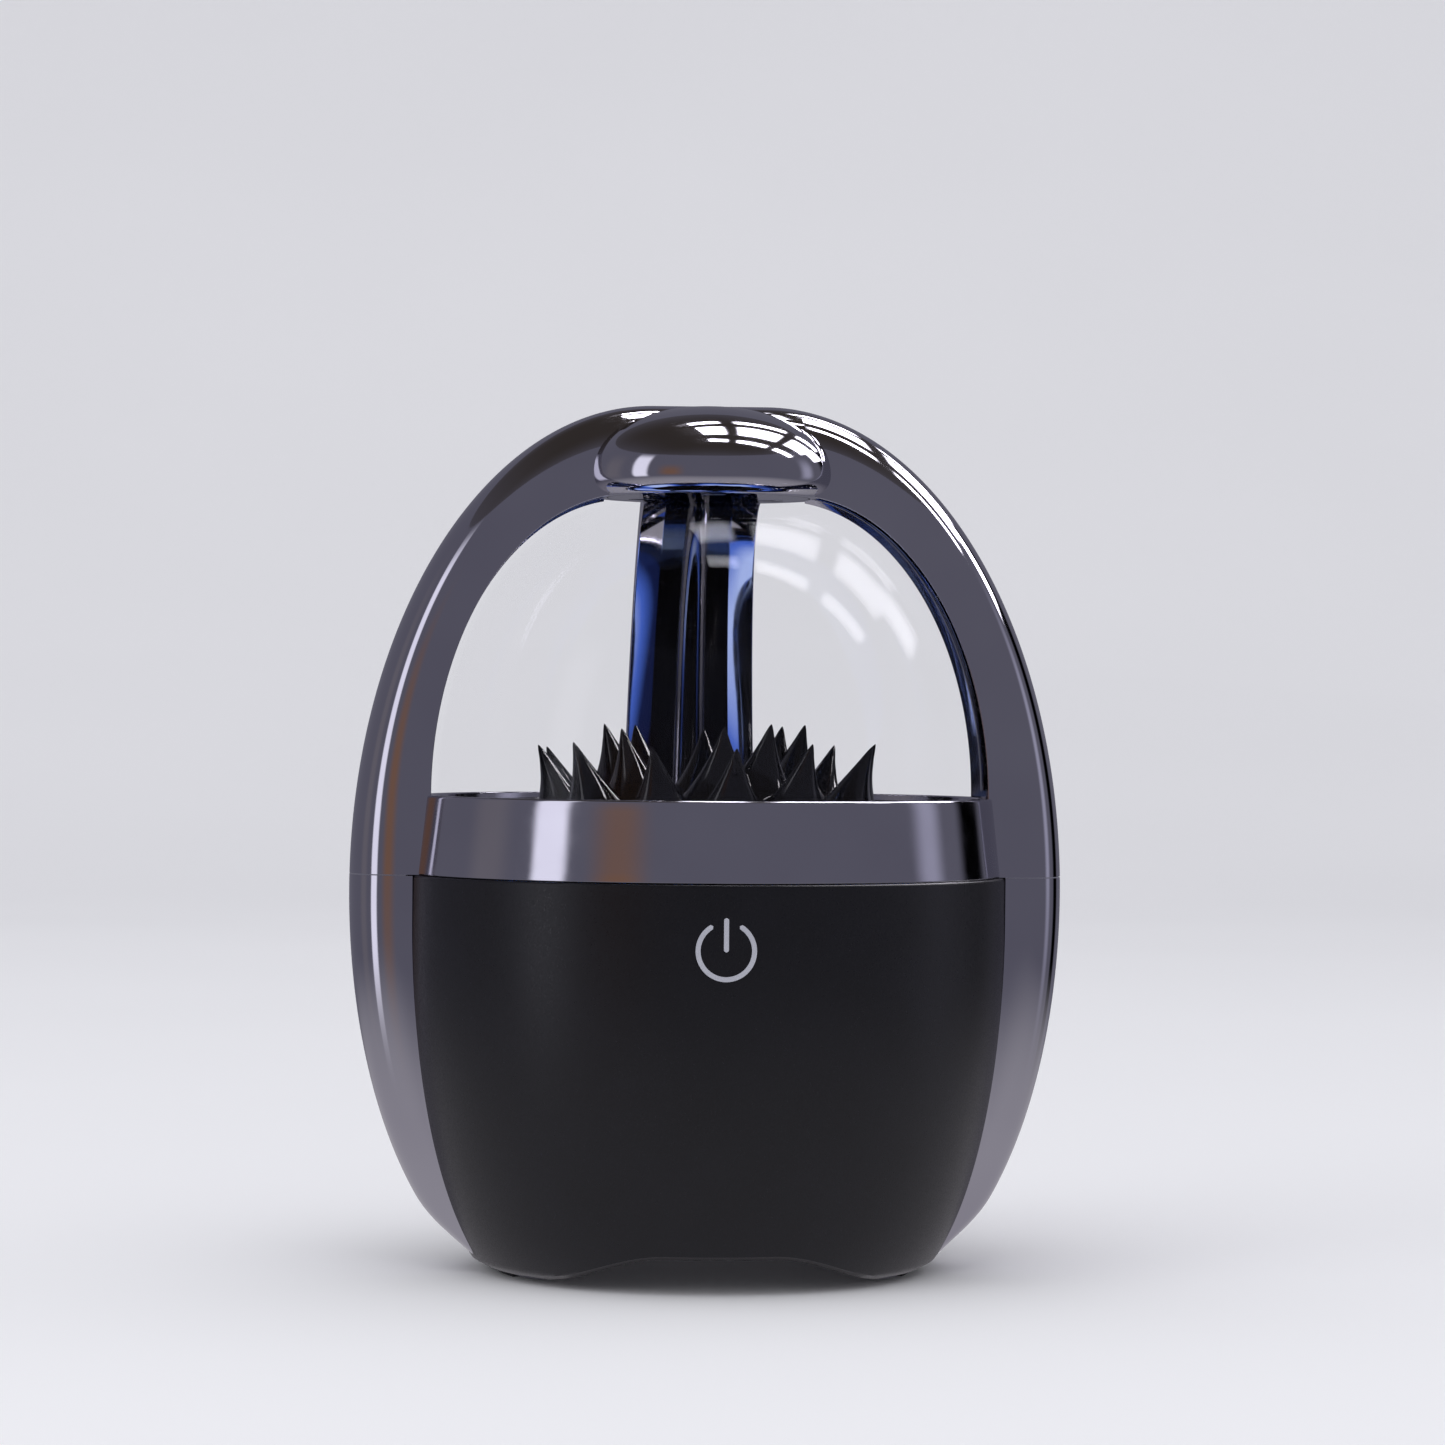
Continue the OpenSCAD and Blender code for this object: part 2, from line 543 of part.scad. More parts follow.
// --- Light ring board ---
led_angles = [for (k = [0 : 11]) 15 + 30 * k];
module led_board() color([0.1, 0.35, 0.2]) {
    translate([0, 0, dish_under_z - 5.7]) difference() {
        cylinder(h = 1.2, r = guide_r + 3.4);
        translate([0, 0, -1]) cylinder(h = 4, r = guide_r - 8);
    }
    for (a = led_angles) rotate([0, 0, a]) translate([guide_r + 0.6, -1.4, dish_under_z - 4.52])
        cube([2.4, 2.8, 1.6]);
}

// --- Chassis plate with its posts ---
pillar_r = 10.5;
battery_y = 26.5;
battery_r = 9.2;
battery_len = 65;
battery_z = chassis_top_z + 1.2 + battery_r;
board_posts = [[-24, -15], [24, -15], [-24, -31], [24, -31]];
board_z = chassis_top_z + 4;
chassis_r = 44.5;
module chassis_plate() color([0.16, 0.16, 0.18]) difference() {
    union() {
        translate([0, 0, chassis_z]) cylinder(h = chassis_t, r = chassis_r);
        translate([0, 0, chassis_z]) cylinder(h = yoke_z - chassis_z - 0.02, r = pillar_r);
        for (a = deck_angles) rotate([0, 0, a]) translate([deck_post_r, 0, chassis_z])
            cylinder(h = dish_under_z - 1.5 - chassis_z, r = 3);
        for (p = board_posts) translate([p[0], p[1], chassis_z]) cylinder(h = board_z - chassis_z - 0.02, r = 2.4);
    }
    translate([0, 0, chassis_z - 1]) cylinder(h = yoke_z, r = pillar_r - 1.8);
    for (a = deck_angles) rotate([0, 0, a]) translate([deck_post_r, 0, dish_under_z - 12])
        cylinder(h = 12, r = screw_r);
    for (a = chassis_angles) rotate([0, 0, a]) translate([chassis_post_r, 0, chassis_z - 1])
        cylinder(h = chassis_t + 2, r = screw_r + fit);
    for (p = board_posts) translate([p[0], p[1], board_z - 4]) cylinder(h = 5, r = screw_r - 0.2);
    for (a = arm_angles) rotate([0, 0, a]) translate([shell_r - shell_wall - head_h - 3, 0, arm_screw_z])
        rotate([0, 90, 0]) cylinder(h = 10, r = head_r + fit);
}
module chassis_screws() color([0.35, 0.35, 0.36])
    for (a = chassis_angles) rotate([0, 0, a])
        translate([chassis_post_r, 0, chassis_top_z + 0.02]) screw(8);

board_t = 1.6;
module main_board() color([0.05, 0.25, 0.12]) {
    difference() {
        translate([-28, -36, board_z]) cube([56, 24, board_t]);
        for (p = board_posts) translate([p[0], p[1], board_z - 1]) cylinder(h = 4, r = screw_r);
    }
    top = board_z + board_t - over;
    translate([-14, -34.5, top]) cube([15, 12, 2.2]);
    translate([4, -28, top]) cube([7, 7, 1]);
    translate([14, -27, top]) cube([6, 5, 1.4]);
    translate([-26, -27, top]) cube([6, 7, 4]);
    for (x = [6, 13]) translate([x, -17, top]) cylinder(h = 8, r = 3);
    for (k = [0 : 4]) translate([-16 + 4 * k, -19, top]) cube([2, 1.2, 0.8]);
    translate([20.5, -23.5, top]) cube([6, 5, 4]);
}
module board_screws() color([0.35, 0.35, 0.36])
    for (p = board_posts) translate([p[0], p[1], board_z + board_t + 0.02]) scale(0.8) screw(4);

// --- Battery on its cradle ---
module battery_axis() translate([-battery_len / 2, battery_y, battery_z]) rotate([0, 90, 0]) children();
module battery_cell() color([0.15, 0.35, 0.6]) battery_axis() {
    cylinder(h = battery_len - 1.2, r = battery_r);
    translate([0, 0, battery_len - 1.3]) cylinder(h = 1.3, r = 3.2);
}
saddle_xs = [-24, 18];
module battery_cradle() color([0.12, 0.12, 0.13]) difference() {
    union() for (x = saddle_xs) translate([x, battery_y - 8, chassis_top_z + 0.02]) cube([6, 16, 5]);
    battery_axis() translate([0, 0, -1]) cylinder(h = battery_len + 2, r = battery_r + 0.05);
}
module battery_strap() color([0.2, 0.2, 0.2]) difference() {
    battery_axis() translate([0, 0, battery_len / 2 - 5]) cylinder(h = 10, r = battery_r + 0.75);
    battery_axis() translate([0, 0, -1]) cylinder(h = battery_len + 2, r = battery_r + 0.05);
    translate([-20, battery_y - 15, chassis_top_z - 3]) cube([40, 30, 3.4]);
}

// --- Loudspeaker, facing down onto the grille ---
surround_out = driver_r - 4.1;
cone_rim_r = surround_out - 3.9;
neck_z = driver_z + 5.5;
plate_low_z = driver_z + 11.5;
motor_r = 16;
module driver_basket() color([0.12, 0.12, 0.13]) difference() {
    rotate_extrude() polygon([
        [surround_out, driver_z], [driver_r, driver_z], [driver_r, driver_z + 1.4],
        [driver_r - 1.2, driver_z + 1.4], [motor_r + 2.6, plate_low_z - 1.5],
        [motor_r + 2.6, plate_low_z], [former_r + 2, plate_low_z], [former_r + 2, plate_low_z - 1.2],
        [motor_r + 1, plate_low_z - 1.2], [motor_r + 1.4, plate_low_z - 2.6],
        [motor_r - 2.2, plate_low_z - 2.6], [motor_r - 2.2, plate_low_z - 3.8],
        [motor_r + 2, plate_low_z - 3.8], [surround_out + 0.6, driver_z + 1.4], [surround_out, driver_z + 1.4]]);
    for (a = [0 : 90 : 270]) rotate([0, 0, a]) translate([motor_r + 1.7, -6, driver_z + 2.2])
        cube([10, 12, plate_low_z - driver_z - 6.4]);
    for (a = base_screw_angles) rotate([0, 0, a]) translate([driver_screw_r, 0, driver_z - 1])
        cylinder(h = 5, r = screw_r + 0.1);
    for (a = base_screw_angles) rotate([0, 0, a]) translate([driver_screw_r, 0, driver_z + 1.41])
        cylinder(h = 5, r = small_screw * head_r + fit);
}
small_screw = 0.75;
module driver_screws() color([0.35, 0.35, 0.36])
    for (a = base_screw_angles) rotate([0, 0, a]) translate([driver_screw_r, 0, driver_z + 1.42])
        scale(small_screw) screw(4.5);
module motor_plate() color([0.6, 0.6, 0.62]) translate([0, 0, plate_low_z + over]) difference() {
    cylinder(h = 3, r = motor_r);
    translate([0, 0, -1]) cylinder(h = 5, r = former_r + 0.7);
}
module motor_magnet() color([0.2, 0.2, 0.22]) translate([0, 0, plate_low_z + 3.04]) difference() {
    cylinder(h = 5.5, r = motor_r + 1.4);
    translate([0, 0, -1]) cylinder(h = 8, r = former_r + 3);
}
module motor_yoke() color([0.6, 0.6, 0.62]) {
    translate([0, 0, plate_low_z + 8.56]) cylinder(h = 2.4, r = motor_r);
    translate([0, 0, plate_low_z]) cylinder(h = 9, r = former_r - 0.8);
}
roll_r = (surround_out - cone_rim_r) / 2 - 0.15;
roll_mid = (surround_out + cone_rim_r) / 2;
module driver_surround() color([0.06, 0.06, 0.06]) rotate_extrude() translate([roll_mid, driver_z + 0.7])
    polygon(concat(
        [for (a = [180 : 15 : 360]) [roll_r * cos(a), roll_r * sin(a)]],
        [[roll_r + 0.1, 0], [roll_r + 0.1, 0.4]],
        [for (a = [360 : -15 : 180]) [(roll_r - 0.4) * cos(a), 0.4 + (roll_r - 0.4) * sin(a)]],
        [[-roll_r - 0.05, 0.4], [-roll_r - 0.05, 0]]));
module driver_spider() color([0.75, 0.6, 0.35]) rotate_extrude()
    polygon(concat(
        [for (k = [0 : 16]) let (u = k / 16)
            [former_r + 0.15 + (motor_r - 0.4 - former_r) * u, plate_low_z - 4.6 + 0.4 * sin(1080 * u)]],
        [for (k = [16 : -1 : 0]) let (u = k / 16)
            [former_r + 0.15 + (motor_r - 0.4 - former_r) * u, plate_low_z - 4.25 + 0.4 * sin(1080 * u)]]));
module speaker_cone() color([0.1, 0.1, 0.11]) rotate_extrude() polygon([
    [cone_rim_r - 0.1, driver_z + 0.7], [cone_rim_r - 0.1, driver_z + 1.2], [cone_rim_r - 0.8, driver_z + 1.2],
    [former_r + 0.02, neck_z + 0.5], [former_r + 0.02, neck_z - 0.3], [former_r - 0.4, neck_z - 0.7],
    [former_r - 2.2, neck_z - 1.9], [former_r - 4.2, neck_z - 2.6], [0, neck_z - 2.9], [0, neck_z - 3.4],
    [former_r - 4, neck_z - 3.1], [former_r - 1.8, neck_z - 2.3], [former_r + 0.4, neck_z - 0.6],
    [cone_rim_r - 1, driver_z + 0.7]]);
module voice_coil() color([0.72, 0.4, 0.2]) translate([0, 0, neck_z - 0.2]) difference() {
    union() {
        cylinder(h = 11.2, r = former_r);
        translate([0, 0, 6.4]) cylinder(h = 4.2, r = former_r + 0.35);
    }
    translate([0, 0, -1]) cylinder(h = 14, r = former_r - 0.3);
}

// --- Touch board behind the icon, and the charging socket ---
module touch_board() color([0.05, 0.25, 0.12]) {
    y = -(shell_r - shell_wall) + 2.6;
    translate([-9, y, icon_z - 8]) cube([18, 1.2, 16]);
    translate([0, y + 0.02, icon_z]) rotate([90, 0, 0]) cylinder(h = 2, r = 5);
}
port_len = 7.3;
port_back = 46.2;
module charge_port() color([0.7, 0.7, 0.72]) translate([0, port_back, port_z]) rotate([-90, 0, 0]) {
    difference() {
        linear_extrude(port_len) stadium(port_w, port_h);
        translate([0, 0, 1]) linear_extrude(port_len) stadium(port_w - 0.6, port_h - 0.6);
    }
    translate([-3.3, -0.35, 0.9]) cube([6.6, 0.7, 5.2]);
}
charge_board_w = 14;
charge_board_y = port_back - 8.6;
module charge_board() color([0.05, 0.25, 0.12]) {
    low_z = port_z - port_h / 2 - 1.25;
    wall_y = sqrt(pow(shell_outer(low_z) - shell_wall, 2) - pow(charge_board_w / 2, 2)) - fit;
    translate([-charge_board_w / 2, charge_board_y, low_z])
        cube([charge_board_w, wall_y - charge_board_y, 1.2]);
    translate([-2, port_back - 6, port_z - port_h / 2 - 0.06]) cube([4, 3, 0.9]);
}

base_shell();
bottom_plate();
foot_pad_left();
foot_pad_right();
base_screws();
lower_arm_left();
lower_arm_right();
lower_arm_back();
arm_screws();
cage();
arm_inlay_left();
arm_inlay_right();
arm_inlay_back();
hub_plate();
hub_screws();
trim_ring();
glass_dome();
dome_gasket();
fluid_dish();
ferrofluid();
deck_screws();
light_guide();
led_board();
magnet_yoke();
magnet_core();
coil_bobbin();
magnet_coil();
chassis_plate();
chassis_screws();
main_board();
board_screws();
battery_cell();
battery_cradle();
battery_strap();
driver_basket();
driver_screws();
motor_plate();
motor_magnet();
motor_yoke();
driver_surround();
driver_spider();
speaker_cone();
voice_coil();
power_icon();
touch_board();
charge_port();
charge_board();
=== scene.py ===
"""Ferrofluid display speaker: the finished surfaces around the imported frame.

Every length is in metres, Z is the axis of the base, z = 0 is the floor and the front, with the
touch key, faces -Y.  Each sub-assembly is a class with its sizes as fields; each finish is a frozen
dataclass that builds its own material.
"""

import json
import logging
import math
from abc import ABC, abstractmethod
from dataclasses import dataclass
from enum import Enum

import bmesh
import bpy
import numpy as np
from mathutils import Matrix, Vector


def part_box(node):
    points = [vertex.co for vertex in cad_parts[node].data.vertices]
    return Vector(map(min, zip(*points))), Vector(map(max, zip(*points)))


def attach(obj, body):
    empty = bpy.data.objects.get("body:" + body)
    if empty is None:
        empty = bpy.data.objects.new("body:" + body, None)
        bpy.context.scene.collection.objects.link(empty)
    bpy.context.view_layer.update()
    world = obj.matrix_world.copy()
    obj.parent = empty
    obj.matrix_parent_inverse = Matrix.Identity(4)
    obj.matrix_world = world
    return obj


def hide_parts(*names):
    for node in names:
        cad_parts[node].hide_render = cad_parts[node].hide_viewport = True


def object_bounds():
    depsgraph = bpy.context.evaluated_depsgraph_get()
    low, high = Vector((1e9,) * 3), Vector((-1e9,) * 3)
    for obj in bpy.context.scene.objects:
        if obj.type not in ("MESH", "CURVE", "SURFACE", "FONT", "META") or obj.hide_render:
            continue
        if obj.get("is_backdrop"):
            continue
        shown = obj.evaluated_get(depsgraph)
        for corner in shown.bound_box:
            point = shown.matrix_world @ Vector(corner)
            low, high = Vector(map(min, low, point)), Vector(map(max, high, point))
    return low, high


LOG = logging.getLogger("speaker")
MM = 0.001
TURN = 2 * math.pi
SHARP = 32.0  # degrees; past this an edge shows as an edge
WELD = 0.002 * MM  # points closer than this are one point
SLIVER = 0.0005 * MM  # edges shorter than this are dissolved
NOISE_LOW, NOISE_HIGH = 0.3, 0.7  # the range that most of a noise lies in
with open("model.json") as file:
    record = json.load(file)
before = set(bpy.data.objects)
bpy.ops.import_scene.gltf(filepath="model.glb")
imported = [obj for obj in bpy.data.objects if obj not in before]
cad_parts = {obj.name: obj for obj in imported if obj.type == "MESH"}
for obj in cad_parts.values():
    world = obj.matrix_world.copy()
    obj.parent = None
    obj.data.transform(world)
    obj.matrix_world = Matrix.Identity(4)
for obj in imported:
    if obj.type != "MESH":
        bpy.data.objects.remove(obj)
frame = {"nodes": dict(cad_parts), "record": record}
CAD_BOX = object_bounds()
MADE: dict[str, bpy.types.Material] = {}


# ---------------------------------------------------------------- frame readings


def top_of(node: str) -> float:
    """Height of the top of a CAD node."""
    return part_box(node)[1].z


def foot_of(node: str) -> float:
    """Height of the underside of a CAD node."""
    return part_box(node)[0].z


def radius_of(node: str) -> float:
    """Greatest reach of a CAD node along +X."""
    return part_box(node)[1].x


# ---------------------------------------------------------------- colours, nodes and objects


def hex_colour(code: str) -> tuple[float, float, float, float]:
    """Turns an sRGB hex code into linear RGBA.

    Args:
        code: six hex digits with a leading hash.

    Returns:
        Linear red, green, blue and an alpha of 1.
    """
    shares = [int(code[i : i + 2], 16) / 255 for i in (1, 3, 5)]
    linear = [s / 12.92 if s <= 0.04045 else ((s + 0.055) / 1.055) ** 2.4 for s in shares]
    return (*linear, 1.0)


def add_node(
    tree: bpy.types.NodeTree, kind: str, settings: dict | None = None, links: dict | None = None
) -> bpy.types.Node:
    """Adds a node with its settings and links.

    Args:
        tree: the node tree it goes in.
        kind: the node's type name.
        settings: values by attribute name, or by input name or number.
        links: sockets by input name or number.

    Returns:
        The new node.
    """
    node = tree.nodes.new(kind)
    for key, value in (settings or {}).items():
        if isinstance(key, str) and hasattr(node, key):
            setattr(node, key, value)
        else:
            node.inputs[key].default_value = value
    for key, socket in (links or {}).items():
        tree.links.new(socket, node.inputs[key])
    return node


def bare_material(name: str) -> bpy.types.Material:
    """A new material with an empty node tree."""
    material = bpy.data.materials.new(name)
    material.use_nodes = True
    material.node_tree.nodes.clear()
    return material


def linked(name: str, data: bpy.types.ID) -> bpy.types.Object:
    """A new object in the scene, at the origin."""
    thing = bpy.data.objects.new(name, data)
    bpy.context.scene.collection.objects.link(thing)
    return thing


class Surface:
    """A new material with one Principled shader and its object coordinates."""

    def __init__(self, name: str, values: dict) -> None:
        """Starts the material and sets the shader's own values.

        Args:
            name: the material's name, for what the real one is.
            values: the shader's values by input name.
        """
        self.material = bare_material(name)
        self.tree = self.material.node_tree
        self.shader = add_node(self.tree, "ShaderNodeBsdfPrincipled", values)
        add_node(
            self.tree, "ShaderNodeOutputMaterial", links={"Surface": self.shader.outputs["BSDF"]}
        )
        self.place = add_node(self.tree, "ShaderNodeTexCoord").outputs["Object"]

    def noise(
        self, size: float, detail: float = 3.0, stretch: tuple | None = None
    ) -> bpy.types.NodeSocket:
        """A noise pattern.

        Args:
            size: how far across its features are, in metres.
            detail: how many finer layers it has.
            stretch: scale along each axis, if it is drawn out.

        Returns:
            The pattern's socket.
        """
        place = self.place
        if stretch is not None:
            place = add_node(
                self.tree, "ShaderNodeMapping", {"Scale": stretch}, {"Vector": place}
            ).outputs["Vector"]
        return add_node(
            self.tree,
            "ShaderNodeTexNoise",
            {"Scale": 1 / size, "Detail": detail, "Roughness": 0.55},
            {"Vector": place},
        ).outputs["Fac"]

    def ramp(self, value: bpy.types.NodeSocket, low: float, high: float) -> bpy.types.NodeSocket:
        """Carries the middle of a pattern's range onto low to high."""
        return add_node(
            self.tree,
            "ShaderNodeMapRange",
            {"From Min": NOISE_LOW, "From Max": NOISE_HIGH, "To Min": low, "To Max": high},
            {"Value": value},
        ).outputs["Result"]

    def tint(self, value: bpy.types.NodeSocket, first: str, second: str) -> None:
        """Colours the surface between two hex colours by a pattern.

        Args:
            value: the pattern.
            first: sRGB hex code where the pattern is low.
            second: sRGB hex code where it is high.
        """
        ramp = add_node(self.tree, "ShaderNodeValToRGB", links={"Fac": value})
        ramp.color_ramp.elements[0].position = NOISE_LOW
        ramp.color_ramp.elements[0].color = hex_colour(first)
        ramp.color_ramp.elements[1].position = NOISE_HIGH
        ramp.color_ramp.elements[1].color = hex_colour(second)
        self.tree.links.new(ramp.outputs["Color"], self.shader.inputs["Base Color"])

    def rough(self, value: bpy.types.NodeSocket, low: float, high: float) -> None:
        """Drives the roughness by a pattern."""
        self.tree.links.new(self.ramp(value, low, high), self.shader.inputs["Roughness"])

    def bump(self, value: bpy.types.NodeSocket, depth: float, strength: float = 1.0) -> None:
        """Raises the surface by a pattern, depth metres at the most."""
        bump = add_node(
            self.tree,
            "ShaderNodeBump",
            {"Strength": strength, "Distance": depth},
            {"Height": value},
        )
        self.tree.links.new(bump.outputs["Normal"], self.shader.inputs["Normal"])


# ---------------------------------------------------------------- finishes


@dataclass(frozen=True)
class Finish(ABC):
    """What a piece is made of and how its surface was made."""

    name: str
    colour: str

    @abstractmethod
    def build(self) -> bpy.types.Material:
        """Makes the material."""

    def material(self) -> bpy.types.Material:
        """The material of this finish, made once."""
        if self.name not in MADE:
            MADE[self.name] = self.build()
        return MADE[self.name]


@dataclass(frozen=True)
class PlatedMetal(Finish):
    """Black nickel over polished ABS: a mirror with a faint ripple left by the moulding."""

    deep: str = "#c0bec8"
    roughness: float = 0.05
    ripple: float = 9 * MM

    def build(self) -> bpy.types.Material:
        """Metal whose colour drifts a little, with faint wiping haze and moulding ripple."""
        s = Surface(self.name, {"Metallic": 1.0, "Roughness": self.roughness})
        s.tint(s.noise(30 * MM, 2.0), self.colour, self.deep)
        s.rough(s.noise(6 * MM, 4.0), self.roughness * 0.6, self.roughness * 1.5)
        s.bump(s.noise(self.ripple, 1.0), 0.012 * MM, 0.35)
        return s.material


@dataclass(frozen=True)
class MouldedPlastic(Finish):
    """Spark-eroded ABS: a fine even grain that spreads the light into a soft sheen."""

    mottle: str = "#24242b"
    roughness: float = 0.42
    grain: float = 0.28 * MM
    depth: float = 0.02 * MM

    def build(self) -> bpy.types.Material:
        """Plastic with grain in its bump and roughness, drawn coarse enough to show."""
        s = Surface(self.name, {"Roughness": self.roughness, "IOR": 1.5})
        s.tint(s.noise(11 * MM, 3.0), self.colour, self.mottle)
        grain = s.noise(self.grain, 2.0)
        s.rough(grain, self.roughness - 0.09, self.roughness + 0.09)
        s.bump(grain, self.depth, 0.7)
        return s.material


@dataclass(frozen=True)
class GlossPlastic(Finish):
    """Polished moulded plastic or lacquer: dark body under a clear mirror-like skin."""

    mottle: str = "#0c0c12"
    roughness: float = 0.06
    coat: float = 0.6
    waviness: float = 6 * MM

    def build(self) -> bpy.types.Material:
        """A coated body with faint haze and a slight waviness from the mould."""
        s = Surface(
            self.name,
            {
                "Roughness": self.roughness,
                "IOR": 1.5,
                "Coat Weight": self.coat,
                "Coat Roughness": 0.03,
            },
        )
        s.tint(s.noise(8 * MM, 2.0), self.colour, self.mottle)
        s.rough(s.noise(2 * MM, 4.0), self.roughness * 0.6, self.roughness * 1.6)
        s.bump(s.noise(self.waviness, 1.0), 0.008 * MM, 0.4)
        return s.material


@dataclass(frozen=True)
class MagneticFluid(Finish):
    """Oil full of iron oxide: wet, jet black, with sharp highlights."""

    def build(self) -> bpy.types.Material:
        """A black oil with a trembling surface."""
        s = Surface(self.name, {"Roughness": 0.03, "IOR": 1.5})
        s.tint(s.noise(3 * MM, 2.0), self.colour, "#06060a")
        s.rough(s.noise(1.2 * MM, 2.0), 0.015, 0.05)
        s.bump(s.noise(2.6 * MM, 1.0), 0.03 * MM, 0.5)
        return s.material


@dataclass(frozen=True)
class ClearPlastic(Finish):
    """Blown clear acrylic: its parallel walls bend nothing, so only a faint mirror is left."""

    veil: float = 0.011

    def build(self) -> bpy.types.Material:
        """A mirror of a few hundredths over nothing, with a very fine waviness from blowing."""
        s = Surface(self.name, {"Metallic": 1.0, "Roughness": 0.02, "Alpha": self.veil})
        s.tint(s.noise(40 * MM, 1.0), self.colour, "#f2f4f8")
        s.bump(s.noise(25 * MM, 1.0), 0.004 * MM, 0.2)
        return s.material


@dataclass(frozen=True)
class GlowingGuide(Finish):
    """Frosted light guide with the lamps behind it lit."""

    glow: str = "#5b86ff"
    strength: float = 3.0

    def build(self) -> bpy.types.Material:
        """A frosted body that glows."""
        s = Surface(
            self.name,
            {
                "Roughness": 0.5,
                "Emission Color": hex_colour(self.glow),
                "Emission Strength": self.strength,
            },
        )
        s.tint(s.noise(1.5 * MM, 3.0), self.colour, "#c9d6f2")
        s.bump(s.noise(0.3 * MM, 2.0), 0.01 * MM, 0.5)
        return s.material


@dataclass(frozen=True)
class TurnedMetal(Finish):
    """Cut or stamped metal with fine tool marks around Z."""

    mottle: str = "#77777a"
    roughness: float = 0.32
    metallic: float = 1.0
    mark: float = 0.35 * MM

    def build(self) -> bpy.types.Material:
        """Metal with marks flattened along Z, as a tool leaves them."""
        s = Surface(self.name, {"Metallic": self.metallic, "Roughness": self.roughness})
        s.tint(s.noise(4 * MM, 4.0), self.colour, self.mottle)
        marks = s.noise(self.mark * 6, 3.0, (0.25, 0.25, 6.0))
        s.rough(marks, self.roughness - 0.1, self.roughness + 0.12)
        s.bump(marks, 0.01 * MM, 0.6)
        return s.material


@dataclass(frozen=True)
class WovenCloth(Finish):
    """Cloth or pressed fibre: threads that cross, or a felt of them."""

    mottle: str = "#241c10"
    thread: float = 0.5 * MM
    roughness: float = 0.85

    def build(self) -> bpy.types.Material:
        """Crossing threads, drawn a little coarse, with a soft sheen of loose fibre."""
        s = Surface(self.name, {"Roughness": self.roughness, "Sheen Weight": 0.25})
        s.tint(s.noise(2 * MM, 4.0), self.colour, self.mottle)
        waves = [
            add_node(
                s.tree,
                "ShaderNodeTexWave",
                {"Scale": 1 / (self.thread * TURN), "Distortion": 1.5, "bands_direction": way},
                {"Vector": s.place},
            ).outputs["Fac"]
            for way in ("X", "Y")
        ]
        weave = add_node(
            s.tree, "ShaderNodeMath", {"operation": "MAXIMUM"}, {0: waves[0], 1: waves[1]}
        ).outputs["Value"]
        s.bump(weave, 0.08 * MM, 0.8)
        return s.material


@dataclass(frozen=True)
class WoundWire(Finish):
    """Enamelled copper wire, wound in even turns stacked along Z."""

    wire: float = 0.4 * MM

    def build(self) -> bpy.types.Material:
        """Copper with a ridge for each turn under glossy enamel."""
        s = Surface(self.name, {"Metallic": 1.0, "Roughness": 0.25, "Coat Weight": 0.7})
        s.tint(s.noise(3 * MM, 3.0), self.colour, "#7a3d1c")
        turns = add_node(
            s.tree,
            "ShaderNodeTexWave",
            {"Scale": 1 / (self.wire * TURN), "Distortion": 0.3, "bands_direction": "Z"},
            {"Vector": s.place},
        ).outputs["Fac"]
        s.bump(turns, 0.12 * MM, 1.0)
        return s.material


@dataclass(frozen=True)
class CircuitBoard(Finish):
    """Solder resist over copper tracks."""

    track: str = "#1c5a34"

    def build(self) -> bpy.types.Material:
        """Green resist with the tracks showing as a lighter, raised maze."""
        s = Surface(self.name, {"Roughness": 0.3, "IOR": 1.5, "Coat Weight": 0.3})
        cells = add_node(
            s.tree,
            "ShaderNodeTexVoronoi",
            {"Scale": 1 / (2.2 * MM), "distance": "MANHATTAN", "feature": "F1"},
            {"Vector": s.place},
        ).outputs["Distance"]
        s.tint(cells, self.colour, self.track)
        s.bump(cells, 0.03 * MM, 0.6)
        return s.material


